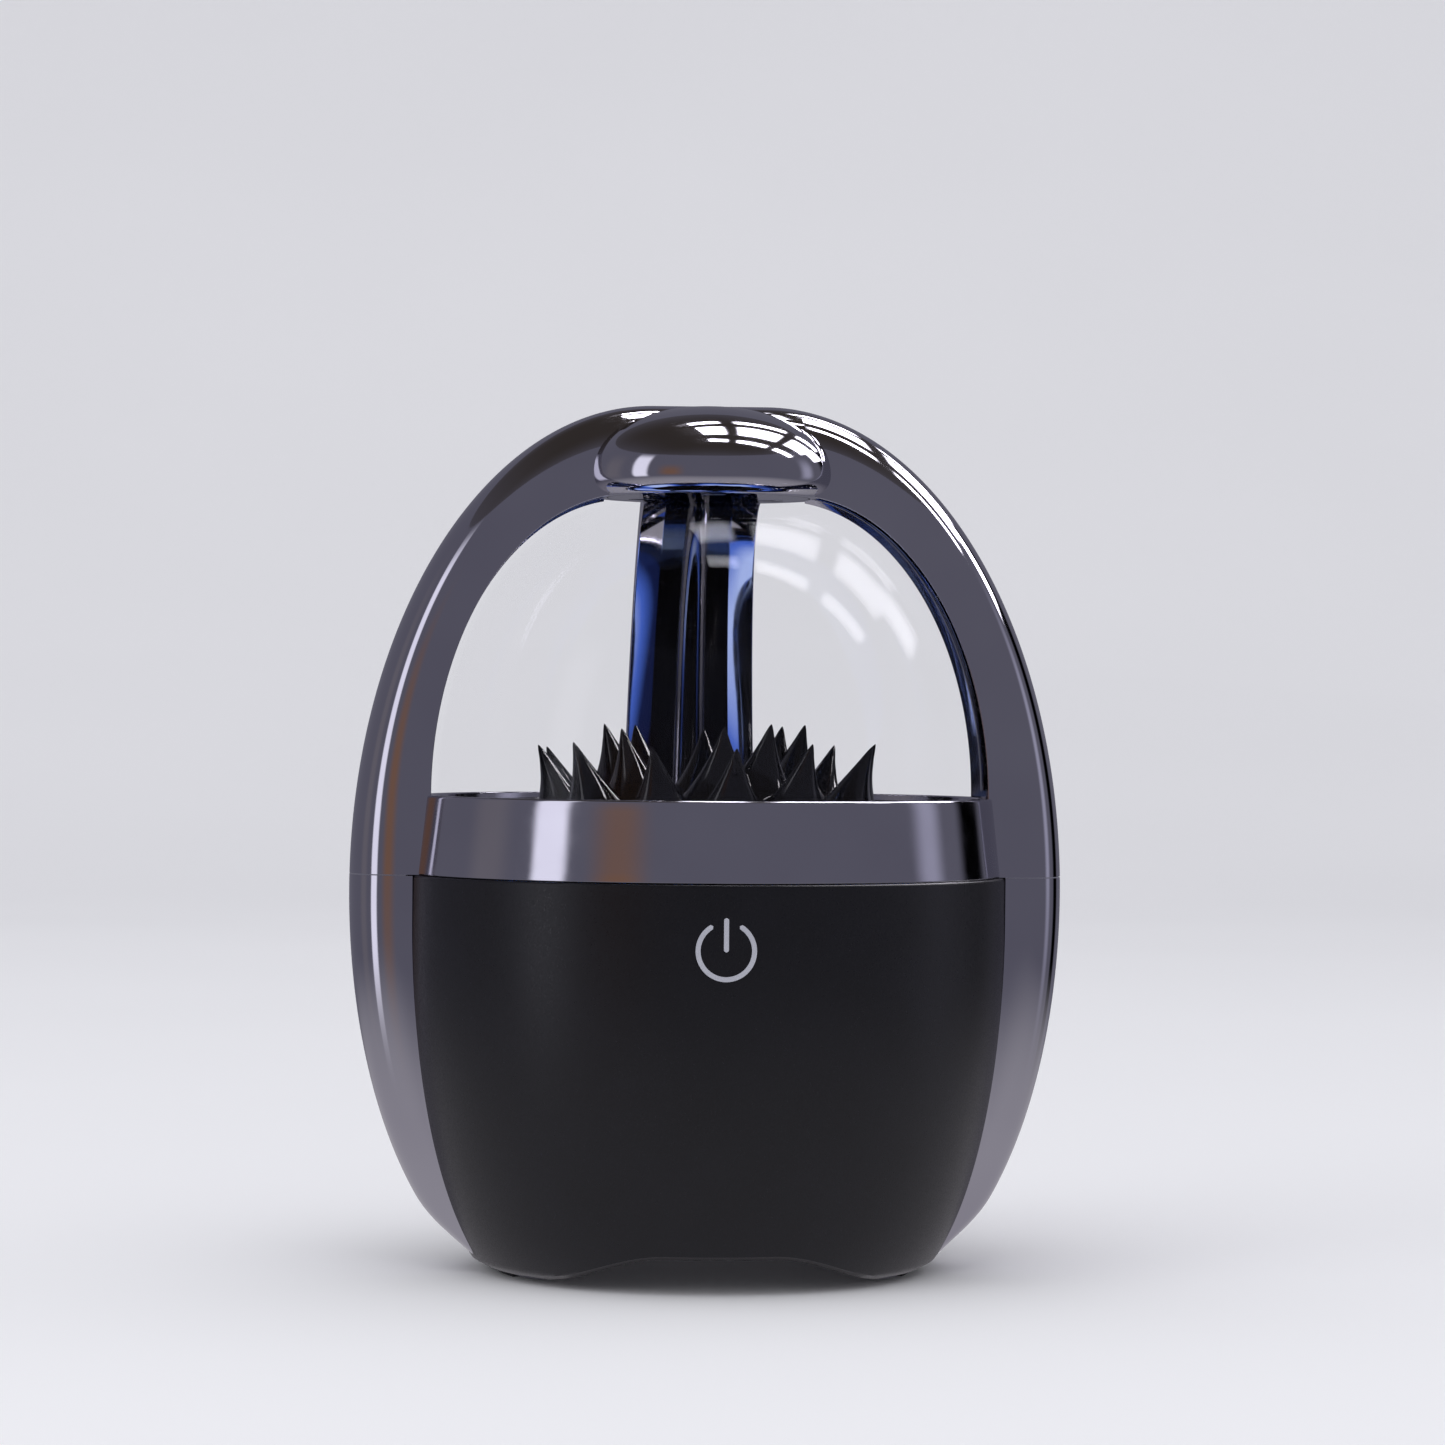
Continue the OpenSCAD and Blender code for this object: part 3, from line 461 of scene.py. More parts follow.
class Look(Enum):
    """Every finish on the speaker."""

    DARK_CHROME = PlatedMetal("black nickel plate", "#cac9d1")
    RING_CHROME = PlatedMetal(
        "black nickel plate, turned ring", "#cac9d2", roughness=0.08, ripple=20 * MM
    )
    SHELL = MouldedPlastic("spark-eroded black ABS", "#0a0a10", mottle="#0d0d14", roughness=0.36)
    INNER = MouldedPlastic("plain moulded ABS", "#26262a", roughness=0.5)
    RUBBER = MouldedPlastic(
        "moulded rubber", "#141414", mottle="#1d1d1d", roughness=0.75, grain=0.5 * MM
    )
    NYLON = MouldedPlastic("natural nylon", "#cfc6a8", mottle="#bdb394", roughness=0.45)
    ICON = MouldedPlastic(
        "screen-printed grey ink", "#b2b3bd", mottle="#a6a7b1", roughness=0.5, depth=0.005 * MM
    )
    INLAY = GlossPlastic("piano-black acrylic", "#040406")
    RIDGE = PlatedMetal("black nickel plate, drawn bead", "#77767f", deep="#6c6b74")
    CELL = GlossPlastic("shrink wrap", "#1b4f8c", mottle="#173f70", roughness=0.25, coat=0.2)
    FLUID = MagneticFluid("wet magnetic fluid", "#020203")
    CLEAR = ClearPlastic("clear blown acrylic", "#fdfeff")
    GUIDE = GlowingGuide("frosted light guide", "#dfe7ff")
    SCREW = TurnedMetal("zinc-plated screw steel", "#9a9a9e")
    IRON = TurnedMetal("turned soft iron", "#8b8b8e", roughness=0.38)
    SOCKET = TurnedMetal("stamped stainless steel", "#b0b0b4", roughness=0.25)
    FERRITE = TurnedMetal(
        "sintered ferrite", "#2b2b2e", mottle="#222224", roughness=0.7, metallic=0.0
    )
    BASKET = MouldedPlastic("powder-coated steel", "#202022", roughness=0.55, grain=0.6 * MM)
    COPPER = WoundWire("enamelled copper wire", "#b5622f")
    SPIDER = WovenCloth("resin-dipped cloth", "#9b7440", mottle="#7d5c30")
    CONE = WovenCloth("pressed paper pulp", "#1f1f21", mottle="#2a2a2c", thread=1.1 * MM)
    STRAP = WovenCloth("woven tape", "#18181a", mottle="#222226")
    BOARD = CircuitBoard("solder resist", "#0f3d22")

    def material(self) -> bpy.types.Material:
        """The material of this look."""
        return self.value.material()


SLOT_LOOKS = {
    "shell_black": Look.SHELL,
    "inner_abs": Look.INNER,
    "rubber": Look.RUBBER,
    "screw_steel": Look.SCREW,
    "dark_chrome": Look.DARK_CHROME,
    "gloss_black": Look.INLAY,
    "clear_dome": Look.CLEAR,
    "magnetic_fluid": Look.FLUID,
    "frosted_guide": Look.GUIDE,
    "board_green": Look.BOARD,
    "iron": Look.IRON,
    "bobbin_nylon": Look.NYLON,
    "copper_wire": Look.COPPER,
    "cell_wrap": Look.CELL,
    "strap_web": Look.STRAP,
    "basket_steel": Look.BASKET,
    "ferrite": Look.FERRITE,
    "spider_cloth": Look.SPIDER,
    "cone_paper": Look.CONE,
    "icon_grey": Look.ICON,
    "socket_steel": Look.SOCKET,
}


# ---------------------------------------------------------------- mesh helpers


def grid_quads(rows: int, cols: int, wrap_rows: bool, wrap_cols: bool) -> np.ndarray:
    """Corner numbers of the quads of a grid of rows by cols points, row by row.

    Args:
        rows: points along the first parameter.
        cols: points along the second parameter.
        wrap_rows: whether the last row joins the first.
        wrap_cols: whether the last column joins the first.

    Returns:
        An array of four corner numbers for each quad.
    """
    r = np.arange(rows if wrap_rows else rows - 1)[:, None]
    c = np.arange(cols if wrap_cols else cols - 1)[None, :]
    r2, c2 = (r + 1) % rows, (c + 1) % cols
    quads = np.stack([r * cols + c, r * cols + c2, r2 * cols + c2, r2 * cols + c], axis=-1)
    return quads.reshape(-1, 4)


def skin(
    name: str,
    points: np.ndarray,
    wrap_rows: bool = False,
    wrap_cols: bool = False,
    capped: bool = False,
    sharp: float = SHARP,
) -> bpy.types.Object:
    """Makes an object from a grid of points, with seams and poles closed and faces outwards.

    Args:
        name: the piece's name.
        points: array of rows by cols by 3.
        wrap_rows: whether the last row joins the first.
        wrap_cols: whether the last column joins the first.
        capped: whether the first and last rows are closed by a flat face each.
        sharp: angle in degrees past which an edge shows as an edge.

    Returns:
        The new object, at the origin.
    """
    rows, cols = points.shape[:2]
    faces = grid_quads(rows, cols, wrap_rows, wrap_cols).tolist()
    if capped:
        faces += [list(range(cols)), list(range((rows - 1) * cols, rows * cols))]
    mesh = bpy.data.meshes.new(name)
    mesh.from_pydata(points.reshape(-1, 3).tolist(), [], faces)
    return settled(name, mesh, sharp)


def settled(name: str, mesh: bpy.types.Mesh, sharp: float) -> bpy.types.Object:
    """Merges doubles, turns the faces outwards, smooths all but sharp edges and links an object.

    Args:
        name: the piece's name.
        mesh: its raw mesh.
        sharp: angle in degrees past which an edge shows as an edge.

    Returns:
        The new object, at the origin.
    """
    work = bmesh.new()
    work.from_mesh(mesh)
    bmesh.ops.remove_doubles(work, verts=work.verts, dist=WELD)
    bmesh.ops.dissolve_degenerate(work, edges=work.edges, dist=SLIVER)
    bmesh.ops.recalc_face_normals(work, faces=work.faces)
    work.to_mesh(mesh)
    work.free()
    mesh.shade_smooth()
    mesh.set_sharp_from_angle(angle=math.radians(sharp))
    return linked(name, mesh)


def dressed(
    piece: bpy.types.Object, look: Look, slot: str, *nodes: str, body: str = "housing"
) -> None:
    """Gives a piece its material, its body and the CAD nodes it stands for.

    Args:
        piece: the finished piece.
        look: its finish.
        slot: the record's material slot; not used.
        nodes: the CAD nodes that it replaces.
        body: the body it moves with.
    """
    piece.data.materials.clear()
    piece.data.materials.append(look.material())
    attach(piece, body)
    if nodes:
        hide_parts(*nodes)
    LOG.info("%s: %d faces", piece.name, len(piece.data.polygons))


def turned(name: str, profile: np.ndarray, sides: int) -> bpy.types.Object:
    """Turns a closed profile about Z.

    Args:
        name: the piece's name.
        profile: array of [radius, height] pairs, a closed loop or ending on the axis.
        sides: divisions around the axis.

    Returns:
        The turned object.
    """
    angle = np.linspace(0, TURN, sides, endpoint=False)[:, None]
    radius, height = profile[None, :, 0], profile[None, :, 1]
    level = np.broadcast_to(height, (sides, len(profile)))
    points = np.stack([radius * np.cos(angle), radius * np.sin(angle), level], axis=-1)
    return skin(name, points, wrap_rows=True, wrap_cols=True)


def rounded(corners: list[tuple[float, float, float]], steps: int = 5) -> np.ndarray:
    """A closed outline with each corner rounded off.

    A corner's arc is the quadratic curve that leaves one side and meets the next at the corner's
    radius from it: (1-s)^2 A + 2 s (1-s) C + s^2 B.

    Args:
        corners: [x, y, radius] of each corner, in order.
        steps: points on each rounded corner.

    Returns:
        Array of [x, y] points.
    """
    table = np.array(corners, float)
    spot, reach = table[:, :2], table[:, 2:]
    back = np.roll(spot, 1, axis=0) - spot
    ahead = np.roll(spot, -1, axis=0) - spot
    back /= np.linalg.norm(back, axis=1, keepdims=True)
    ahead /= np.linalg.norm(ahead, axis=1, keepdims=True)
    first, last = spot + back * reach, spot + ahead * reach
    s = np.linspace(0, 1, steps)[None, :, None]
    arcs = (1 - s) ** 2 * first[:, None] + 2 * s * (1 - s) * spot[:, None] + s**2 * last[:, None]
    return arcs.reshape(-1, 2)


def spun(points: np.ndarray, angle: float) -> np.ndarray:
    """Points turned about Z by an angle in degrees."""
    cos, sin = math.cos(math.radians(angle)), math.sin(math.radians(angle))
    turn = np.array([[cos, -sin, 0], [sin, cos, 0], [0, 0, 1]])
    return points @ turn.T


def bulge(z: np.ndarray, r0: float, r1: float, z0: float, b: float) -> np.ndarray:
    """Radius on a quarter ellipse that reaches r1 at height z0 and r0 at b away from it.

    Args:
        z: heights.
        r0: the smaller radius.
        r1: the greater radius.
        z0: the height of the greater radius.
        b: how far above or below z0 the smaller radius lies.

    Returns:
        Radii, in the shape of z.
    """
    return r0 + (r1 - r0) * np.sqrt(np.maximum(0, 1 - ((z - z0) / b) ** 2))


def eased(count: int) -> np.ndarray:
    """Shares from 0 to 1 that crowd at both ends: 3 s^2 - 2 s^3."""
    s = np.linspace(0, 1, count)
    return 3 * s**2 - 2 * s**3


# ---------------------------------------------------------------- the egg's contours


@dataclass
class Contours:
    """Heights and radii that every outer piece shares, read from the frame."""

    seam: float = top_of("base_shell")
    ring_top: float = top_of("trim_ring")
    top: float = top_of("cage")
    hub_low: float = foot_of("hub_plate")
    shell_r: float = -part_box("base_shell")[0].y
    reach: float = radius_of("cage")
    dome_r: float = radius_of("glass_dome")
    crown_r: float = 10 * MM
    foot_r: float = 30 * MM
    flat_r: float = 14 * MM
    seat_gap: float = 0.3 * MM
    shell_tuck: float = 20 * MM
    widest_drop: float = 2.7 * MM
    belly_drop: float = 7.7 * MM
    belly_sink: float = 3 * MM
    foot_sink: float = 2.5 * MM

    @property
    def widest(self) -> float:
        """Height at which the arms reach furthest out."""
        return self.seam - self.widest_drop

    @property
    def seat_r(self) -> float:
        """Radius of the arms' inner side beside the dome."""
        return self.dome_r + self.seat_gap

    def shell_outer(self, z: np.ndarray) -> np.ndarray:
        """Radius of the base shell at a height: upright above the belly, an ellipse below."""
        belly = self.seam - self.belly_drop
        low = bulge(z, self.shell_r - self.shell_tuck, self.shell_r, belly, belly + self.belly_sink)
        return np.where(z >= belly, self.shell_r, low)

    def arm_top(self, r: np.ndarray) -> np.ndarray:
        """Height of the arms' crown at a radius: the upper ellipse, level inside its crown."""
        share = np.maximum(r - self.crown_r, 0) / (self.reach - self.crown_r)
        return self.widest + (self.top - self.widest) * np.sqrt(1 - share**2)

    def arm_outer(self, z: np.ndarray) -> np.ndarray:
        """Radius of the arms' crown at a height: one ellipse above the widest point, one below."""
        high = bulge(z, self.crown_r, self.reach, self.widest, self.top - self.widest)
        low = bulge(z, self.foot_r, self.reach, self.widest, self.widest + self.foot_sink)
        return np.where(z >= self.widest, high, low)


# ---------------------------------------------------------------- cage


@dataclass
class Cage:
    """Three plated arms with a channel and an inlay each, joined in a domed hub."""

    egg: Contours
    width: float = 24.8 * MM
    top_width: float = 20.5 * MM
    slim: float = 0.055
    power: float = 2.6
    side_flat: float = 1.7 * MM
    edge: float = 0.35 * MM
    facet: float = 4.5 * MM
    channel: float = 2.2 * MM
    pocket: float = 1.2 * MM
    hub_r: float = 23 * MM
    hub_edge: float = 3.4 * MM
    hub_power: float = 2.15
    plate_r: float = 17.8 * MM
    plate_room: float = 1.9 * MM
    ridge_low: float = 6.3 * MM
    ridge_top: float = 3.4 * MM
    ridge_h: float = 1.9 * MM
    fade: float = 10 * MM
    fit: float = 0.1 * MM
    inset: float = 0.05 * MM
    buried: float = 1.4 * MM
    rise: int = 120
    collar: int = 14
    tail: int = 20

    def half_width(self, z: np.ndarray) -> np.ndarray:
        """Half an arm's width at a height, narrowing evenly from the seam up and down.

        Args:
            z: heights.

        Returns:
            Half widths, in the shape of z.
        """
        up = (z - self.egg.seam) / (self.egg.top - self.egg.seam)
        high = self.width + (self.top_width - self.width) * up
        low = self.width - self.slim * (self.egg.seam - z)
        return np.where(z > self.egg.seam, high, low) / 2

    def crown(self, half: np.ndarray, depth: np.ndarray) -> tuple[np.ndarray, np.ndarray]:
        """The rounded back of the D, a superellipse quarter each side.

        Args:
            half: half widths, one column.
            depth: depths of the D, one column.

        Returns:
            Offsets across the arm and depths into it, one row per station.
        """
        quarter = eased(28) * math.pi / 2
        a = np.concatenate([quarter, math.pi - quarter[-2::-1]])[None, :]
        across = half * np.sign(np.cos(a)) * np.abs(np.cos(a)) ** (2 / self.power)
        deep = self.side_flat + (depth - self.side_flat) * np.sin(a).clip(0) ** (2 / self.power)
        return across, deep

    def corner(
        self, half: np.ndarray, cut: np.ndarray, side: int
    ) -> tuple[np.ndarray, np.ndarray]:
        """The small round where a side meets a facet: a quadratic curve about the corner.

        Args:
            half: half widths, one column.
            cut: depth of the channel, one column.
            side: 1 for the +offset side, -1 for the other.

        Returns:
            Offsets and depths, running from the facet to the side on the +offset side.
        """
        s = np.linspace(0, 1, 6)[None, :]
        length = np.hypot(self.facet, cut)
        start = (half - self.edge * self.facet / length, self.edge * cut / length)
        across = (1 - s) ** 2 * start[0] + 2 * s * (1 - s) * half + s**2 * half
        deep = (1 - s) ** 2 * start[1] + s**2 * self.edge + 0 * half
        return (across, deep) if side > 0 else (-across[:, ::-1], deep[:, ::-1])

    def stations(self) -> tuple[np.ndarray, np.ndarray, np.ndarray]:
        """Inner points, outer points and channel depths along an arm, from the seam to the axis.

        The arm runs upright beside the ring, then along two quarter ellipses, then level to the
        axis inside the hub.
        """
        e = self.egg
        low_z = np.linspace(e.seam + self.fit, e.ring_top - 0.02 * MM, self.collar)
        inner = [np.stack([np.full_like(low_z, e.seat_r), low_z], axis=1)]
        outer = [np.stack([e.arm_outer(low_z), low_z], axis=1)]
        start = math.asin((e.ring_top - e.widest) / (e.top - e.widest))
        last = math.acos((self.plate_r + self.fit - e.flat_r) / (e.seat_r - e.flat_r))
        t = np.linspace(0, last, self.rise)
        a = start + (math.pi / 2 - start) * t / (math.pi / 2)
        inner.append(np.stack([e.flat_r + (e.seat_r - e.flat_r) * np.cos(t),
                               e.ring_top + (e.hub_low - e.ring_top) * np.sin(t)], axis=1))
        outer.append(np.stack([e.crown_r + (e.reach - e.crown_r) * np.cos(a),
                               e.widest + (e.top - e.widest) * np.sin(a)], axis=1))
        rest = np.linspace(1, 0, self.tail)
        tip_r = outer[-1][-1, 0] * rest
        level = np.full(self.tail, e.hub_low + 5 * MM)
        inner.append(np.stack([(self.plate_r - self.fit) * rest, level], axis=1))
        outer.append(np.stack([tip_r, e.arm_top(tip_r) - 0.02 * MM], axis=1))
        # The channel is open along the rise, shut beside the ring and all but shut in the hub.
        cut = np.concatenate([np.zeros(self.collar), np.ones(self.rise), np.full(self.tail, 0.02)])
        return np.concatenate(inner), np.concatenate(outer), cut[:, None] * self.channel

    def swept(
        self, across: np.ndarray, deep: np.ndarray, inner: np.ndarray, outer: np.ndarray
    ) -> np.ndarray:
        """Carries section rows along an arm: point = inner + direction * depth, offset sideways.

        Args:
            across: offsets sideways, a row for each station.
            deep: depths from the inner point towards the outer one, a row for each station.
            inner: [radius, height] of each station's inner point.
            outer: [radius, height] of each station's outer point.

        Returns:
            Array of stations by section points by 3, for an arm along +X.
        """
        reach = outer - inner
        way = reach / np.linalg.norm(reach, axis=1, keepdims=True)
        radius = inner[:, :1] + way[:, :1] * deep
        height = inner[:, 1:] + way[:, 1:] * deep
        return np.stack([radius, across, height], axis=-1)

    def arm(self, name: str, angle: float) -> None:
        """One arm of the cage, as a closed D with its channel cut in the inner side.

        Args:
            name: the piece's name.
            angle: the arm's bearing in degrees.
        """
        inner, outer, cut = self.stations()
        depth = np.linalg.norm(outer - inner, axis=1, keepdims=True)
        half = self.half_width((inner[:, 1:] + outer[:, 1:]) / 2)
        right, left = self.corner(half, cut, 1), self.corner(half, cut, -1)
        crown = self.crown(half, depth)
        w, room = half - self.facet, np.where(cut > self.channel / 2, self.pocket, 0.0)
        across = np.concatenate([right[0], crown[0], left[0], -w, -w, w, w], axis=1)
        floor = [cut, cut + room, cut + room, cut]
        deep = np.concatenate([right[1], crown[1], left[1], *floor], axis=1)
        points = self.swept(across, deep, inner, outer)
        piece = skin(name, spun(points, angle), wrap_cols=True, capped=True)
        dressed(piece, Look.DARK_CHROME, "dark_chrome", "cage")

    def inlay(self, name: str, node: str, angle: float) -> None:
        """The black strip in an arm's channel, with a half-round ridge that narrows upwards.

        Args:
            name: the arm's side.
            node: the CAD node that the strip and its ridge stand for.
            angle: the arm's bearing in degrees.
        """
        inner, outer, cut = self.stations()
        keep = np.flatnonzero(cut[:, 0] > self.channel / 2)[2:]
        inner, outer = inner[keep], outer[keep]
        half = self.half_width((inner[:, 1:] + outer[:, 1:]) / 2) - self.facet - self.fit
        share = np.linspace(0, 1, len(keep))[:, None]
        ridge = (self.ridge_low + (self.ridge_top - self.ridge_low) * share) / 2
        near = self.channel + self.inset
        far = self.channel + self.pocket - self.inset
        a = np.linspace(math.pi, 0, 33)[None, :]
        flat = np.ones_like(half)
        strip = (np.concatenate([half, -half, -half, half], axis=1),
                 np.concatenate([far * flat, far * flat, near * flat, near * flat], axis=1))
        foot = near + self.pocket / 3
        round_top = near - self.ridge_h * np.sin(a) * flat
        bead = (np.concatenate([-ridge, ridge * np.cos(a), ridge], axis=1),
                np.concatenate([foot * flat, round_top, foot * flat], axis=1))
        sections = (("strip", strip, Look.INLAY), ("bead", bead, Look.RIDGE))
        for part, (across, deep), look in sections:
            points = spun(self.swept(across, deep, inner, outer), angle)
            piece = skin(f"inlay_{part}_{name}", points, wrap_cols=True, capped=True)
            dressed(piece, look, "gloss_black", node)

    def hub(self) -> None:
        """The domed hub: flat below, with the plate's recess, a round edge and a full crown.

        The crown is a quarter of a superellipse, a little fuller than an ellipse.
        """
        e = self.egg
        a = np.radians(np.linspace(-90, 0, 14))
        edge = np.stack([self.hub_r - self.hub_edge + self.hub_edge * np.cos(a),
                         e.hub_low + self.hub_edge + self.hub_edge * np.sin(a)], axis=1)
        b = eased(56)[1:] * math.pi / 2
        rise = e.top - e.hub_low - self.hub_edge
        power = 2 / self.hub_power
        dome = np.stack([self.hub_r * np.cos(b).clip(0) ** power,
                         e.hub_low + self.hub_edge + rise * np.sin(b) ** power], axis=1)
        roof = e.hub_low + self.plate_room
        recess = np.array([[0, roof], [self.plate_r, roof], [self.plate_r, e.hub_low]])
        piece = turned("hub_dome", np.concatenate([recess, edge, dome]), sides=224)
        dressed(piece, Look.DARK_CHROME, "dark_chrome", "cage")

    def lower_arm(self, name: str, angle: float) -> bpy.types.Object:
        """The part of an arm below the seam, standing on the shell, which hides its inner side.

        Over the fade's height it rises from the shell's surface to the egg's contour, fast at
        first: 1 - (1 - s)^2.4.

        Args:
            name: the arm's CAD node.
            angle: its bearing in degrees.

        Returns:
            The arm, not yet dressed.
        """
        e = self.egg
        z = foot_of(name) + (e.seam - self.fit - foot_of(name)) * np.linspace(0, 1, 110) ** 1.4
        inner = np.stack([e.shell_outer(z) - (e.shell_r - e.seat_r), z], axis=1)
        proud = 1 - (1 - np.clip((z - foot_of(name)) / self.fade, 0, 1)) ** 2.4
        low_r = e.shell_outer(z) - 0.3 * MM
        outer = np.stack([low_r + (e.arm_outer(z) - low_r) * proud, z], axis=1)
        depth = np.linalg.norm(outer - inner, axis=1, keepdims=True)
        across, deep = self.crown(self.half_width(z[:, None]), depth)
        buried = e.shell_r - e.seat_r - self.buried
        back = np.array([[-1.0, 1.0]])
        across = np.concatenate([across, back * np.abs(across[:, :1])], axis=1)
        deep = np.concatenate([np.maximum(deep, buried), np.full((len(z), 2), buried)], axis=1)
        points = spun(self.swept(across, deep, inner, outer), angle)
        return skin(name + "_plated", points, wrap_cols=True, capped=True)

    def build(self) -> None:
        """Makes the arms, their inlays and the hub."""
        for side, angle in (("left", 180), ("right", 0), ("back", 90)):
            self.arm(f"cage_arm_{side}", angle)
            self.inlay(side, f"arm_inlay_{side}", angle)
            lower = self.lower_arm(f"lower_arm_{side}", angle)
            if side == "back":
                pierce(lower, ChargingPort().cutter())
            dressed(lower, Look.DARK_CHROME, "dark_chrome", f"lower_arm_{side}")
        self.hub()


@dataclass
class ChargingPort:
    """The round-ended hole in the back arm for the charging socket."""

    margin: float = 0.3 * MM
    length: float = 20 * MM

    def cutter(self) -> bpy.types.Object:
        """A prism with round ends, along Y through the back arm."""
        low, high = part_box("charge_port")
        mid, r = (low + high) / 2, (high.z - low.z) / 2 + self.margin
        half = (high.x - low.x) / 2 + self.margin - r
        a = np.linspace(0, TURN, 48, endpoint=False)
        x = mid.x + np.sign(np.cos(a)) * half + r * np.cos(a)
        z = mid.z + r * np.sin(a)
        y = np.array([high.y - self.length / 2, high.y + self.length / 2])
        shape = (2, len(a))
        grids = [np.broadcast_to(grid, shape) for grid in (x, y[:, None], z)]
        return skin("port_cutter", np.stack(grids, axis=-1), wrap_cols=True, capped=True)


def pierce(piece: bpy.types.Object, cutter: bpy.types.Object) -> None:
    """Cuts a hole in a piece.

    Args:
        piece: the piece, whose mesh is replaced.
        cutter: a closed solid in the hole's shape, which is removed afterwards.
    """
    modifier = piece.modifiers.new("hole", "BOOLEAN")
    modifier.operation, modifier.solver, modifier.object = "DIFFERENCE", "EXACT", cutter
    apply_modifiers(piece)
    bpy.data.objects.remove(cutter)
    piece.data.shade_smooth()
    piece.data.set_sharp_from_angle(angle=math.radians(SHARP))


def apply_modifiers(piece: bpy.types.Object) -> None:
    """Replaces a piece's mesh by what its modifiers make of it.

    Args:
        piece: the piece with live modifiers, which are removed.
    """
    graph = bpy.context.evaluated_depsgraph_get()
    mesh = bpy.data.meshes.new_from_object(piece.evaluated_get(graph))
    piece.modifiers.clear()
    piece.data = mesh


# ---------------------------------------------------------------- base


@dataclass
class Base:
    """The black shell with its arches, the touch icon on it and the ring above it."""

    egg: Contours
    wall: float = 2.6 * MM
    foot_in: float = 34.5 * MM
    foot_out: float = 36.3 * MM
    foot_lift: float = 0.4 * MM
    foot_turn: float = 1.7 * MM
    foot_round: float = 0.3 * MM
    seam_gap: float = 0.4 * MM
    plate_t: float = 2.4 * MM
    upright: float = 20 * MM
    flange_in: float = 28.8 * MM
    flange_t: float = 2.5 * MM
    arch_h: float = 6.2 * MM
    arch_flat: float = 9 * MM
    arch_run: float = 24 * MM
    sides: int = 288
    icon_clear: float = 0.06 * MM
    ring_low_in: float = 0.9 * MM
    ring_high_in: float = 2.4 * MM
    ring_wall: float = 1.6 * MM
    ring_ledge: float = 3.4 * MM

    def arch(self, x: np.ndarray) -> np.ndarray:
        """Height of the shell's lower rim over the floor: a flat with a cosine run each side."""
        u = np.clip((np.abs(x) - self.arch_flat) / self.arch_run, 0, 1)
        return self.foot_lift + (self.arch_h - self.foot_lift) * (1 + np.cos(math.pi * u)) / 2

    def outer_radius(self, z: np.ndarray) -> np.ndarray:
        """Radius of the shell's outside, rounded in at the very foot."""
        turn_in = np.clip((z - self.foot_lift) / self.foot_turn, 0, 1)
        full = self.egg.shell_outer(z) - self.icon_clear
        return self.foot_out + (full - self.foot_out) * turn_in**0.6

    def shell(self) -> None:
        """The shell as one closed skin: outside, rim, inside, flange and foot.

        The lower end of the outside at each angle is where its own radius meets the arch; a few
        rounds of substitution settle it.
        """
        e = self.egg
        a = np.linspace(0, TURN, self.sides, endpoint=False)[:, None]
        low = np.full_like(a, self.foot_lift)
        for _ in range(12):
            low = 0.5 * low + 0.5 * self.arch(self.outer_radius(low) * np.cos(a))
        share = (np.linspace(0, 1, 90) ** 1.25)[None, :]
        z_out = low + (e.seam - self.seam_gap - low) * share
        r_out = self.outer_radius(z_out)
        r_out[:, 0] -= self.foot_round
        z_out[:, 1] += 0.25 * MM
        inside = e.shell_r - self.wall
        rim = rounded([(e.shell_r - self.icon_clear, e.seam, self.seam_gap),
                       (inside, e.seam, 0.3 * MM),
                       (inside, e.seam - self.upright, 0.1 * MM)], 4)[:8]
        floor = top_of("bottom_plate") - self.plate_t
        shelf = floor + self.flange_t
        z_in = np.linspace(e.seam - self.upright, shelf, 16)
        r_in = e.shell_outer(z_in) - self.wall
        flange = np.array([[self.flange_in, shelf], [self.flange_in, floor], [self.foot_in, floor]])
        fixed = np.concatenate([rim, np.stack([r_in, z_in], axis=1), flange])
        ones = np.ones((self.sides, 1))
        foot_z = self.arch(self.foot_in * np.cos(a))
        radius = np.concatenate([r_out, ones * fixed[:, 0], ones * self.foot_in], axis=1)
        height = np.concatenate([z_out, ones * fixed[:, 1], foot_z], axis=1)
        points = np.stack([radius * np.cos(a), radius * np.sin(a), height], axis=-1)
        piece = skin("shell_skin", points, wrap_rows=True, wrap_cols=True, sharp=38)
        dressed(piece, Look.SHELL, "shell_black", "base_shell")

    def ring(self) -> None:
        """The turned trim ring, tapering upwards, with a small round on each edge."""
        e = self.egg
        low, high = e.seam + 0.05 * MM, e.ring_top
        out_low, out_high = e.shell_r - self.ring_low_in, e.shell_r - self.ring_high_in
        skirt = out_low - self.ring_wall
        ledge = max(foot_of("fluid_dish"), low + self.ring_ledge)
        steps = 6
        profile = rounded([(skirt, low, 0.1 * MM), (out_low, low, 0.35 * MM),
                           (out_high, high, 0.45 * MM), (e.seat_r, high, 0.3 * MM),
                           (e.seat_r, ledge, 0.1 * MM), (skirt, ledge, 0.1 * MM)], steps)
        start = 2 * steps  # the outer side runs from the second corner to the third
        side = np.linspace(profile[start - 1], profile[start], 10)[1:-1]
        outline = np.concatenate([profile[:start], side, profile[start:]])
        piece = turned("polished_ring", outline, sides=288)
        dressed(piece, Look.RING_CHROME, "dark_chrome", "trim_ring")

    def build(self) -> None:
        """Makes the shell, the ring and the icon."""
        self.shell()
        self.ring()
        PowerIcon(self.egg.shell_r).build()


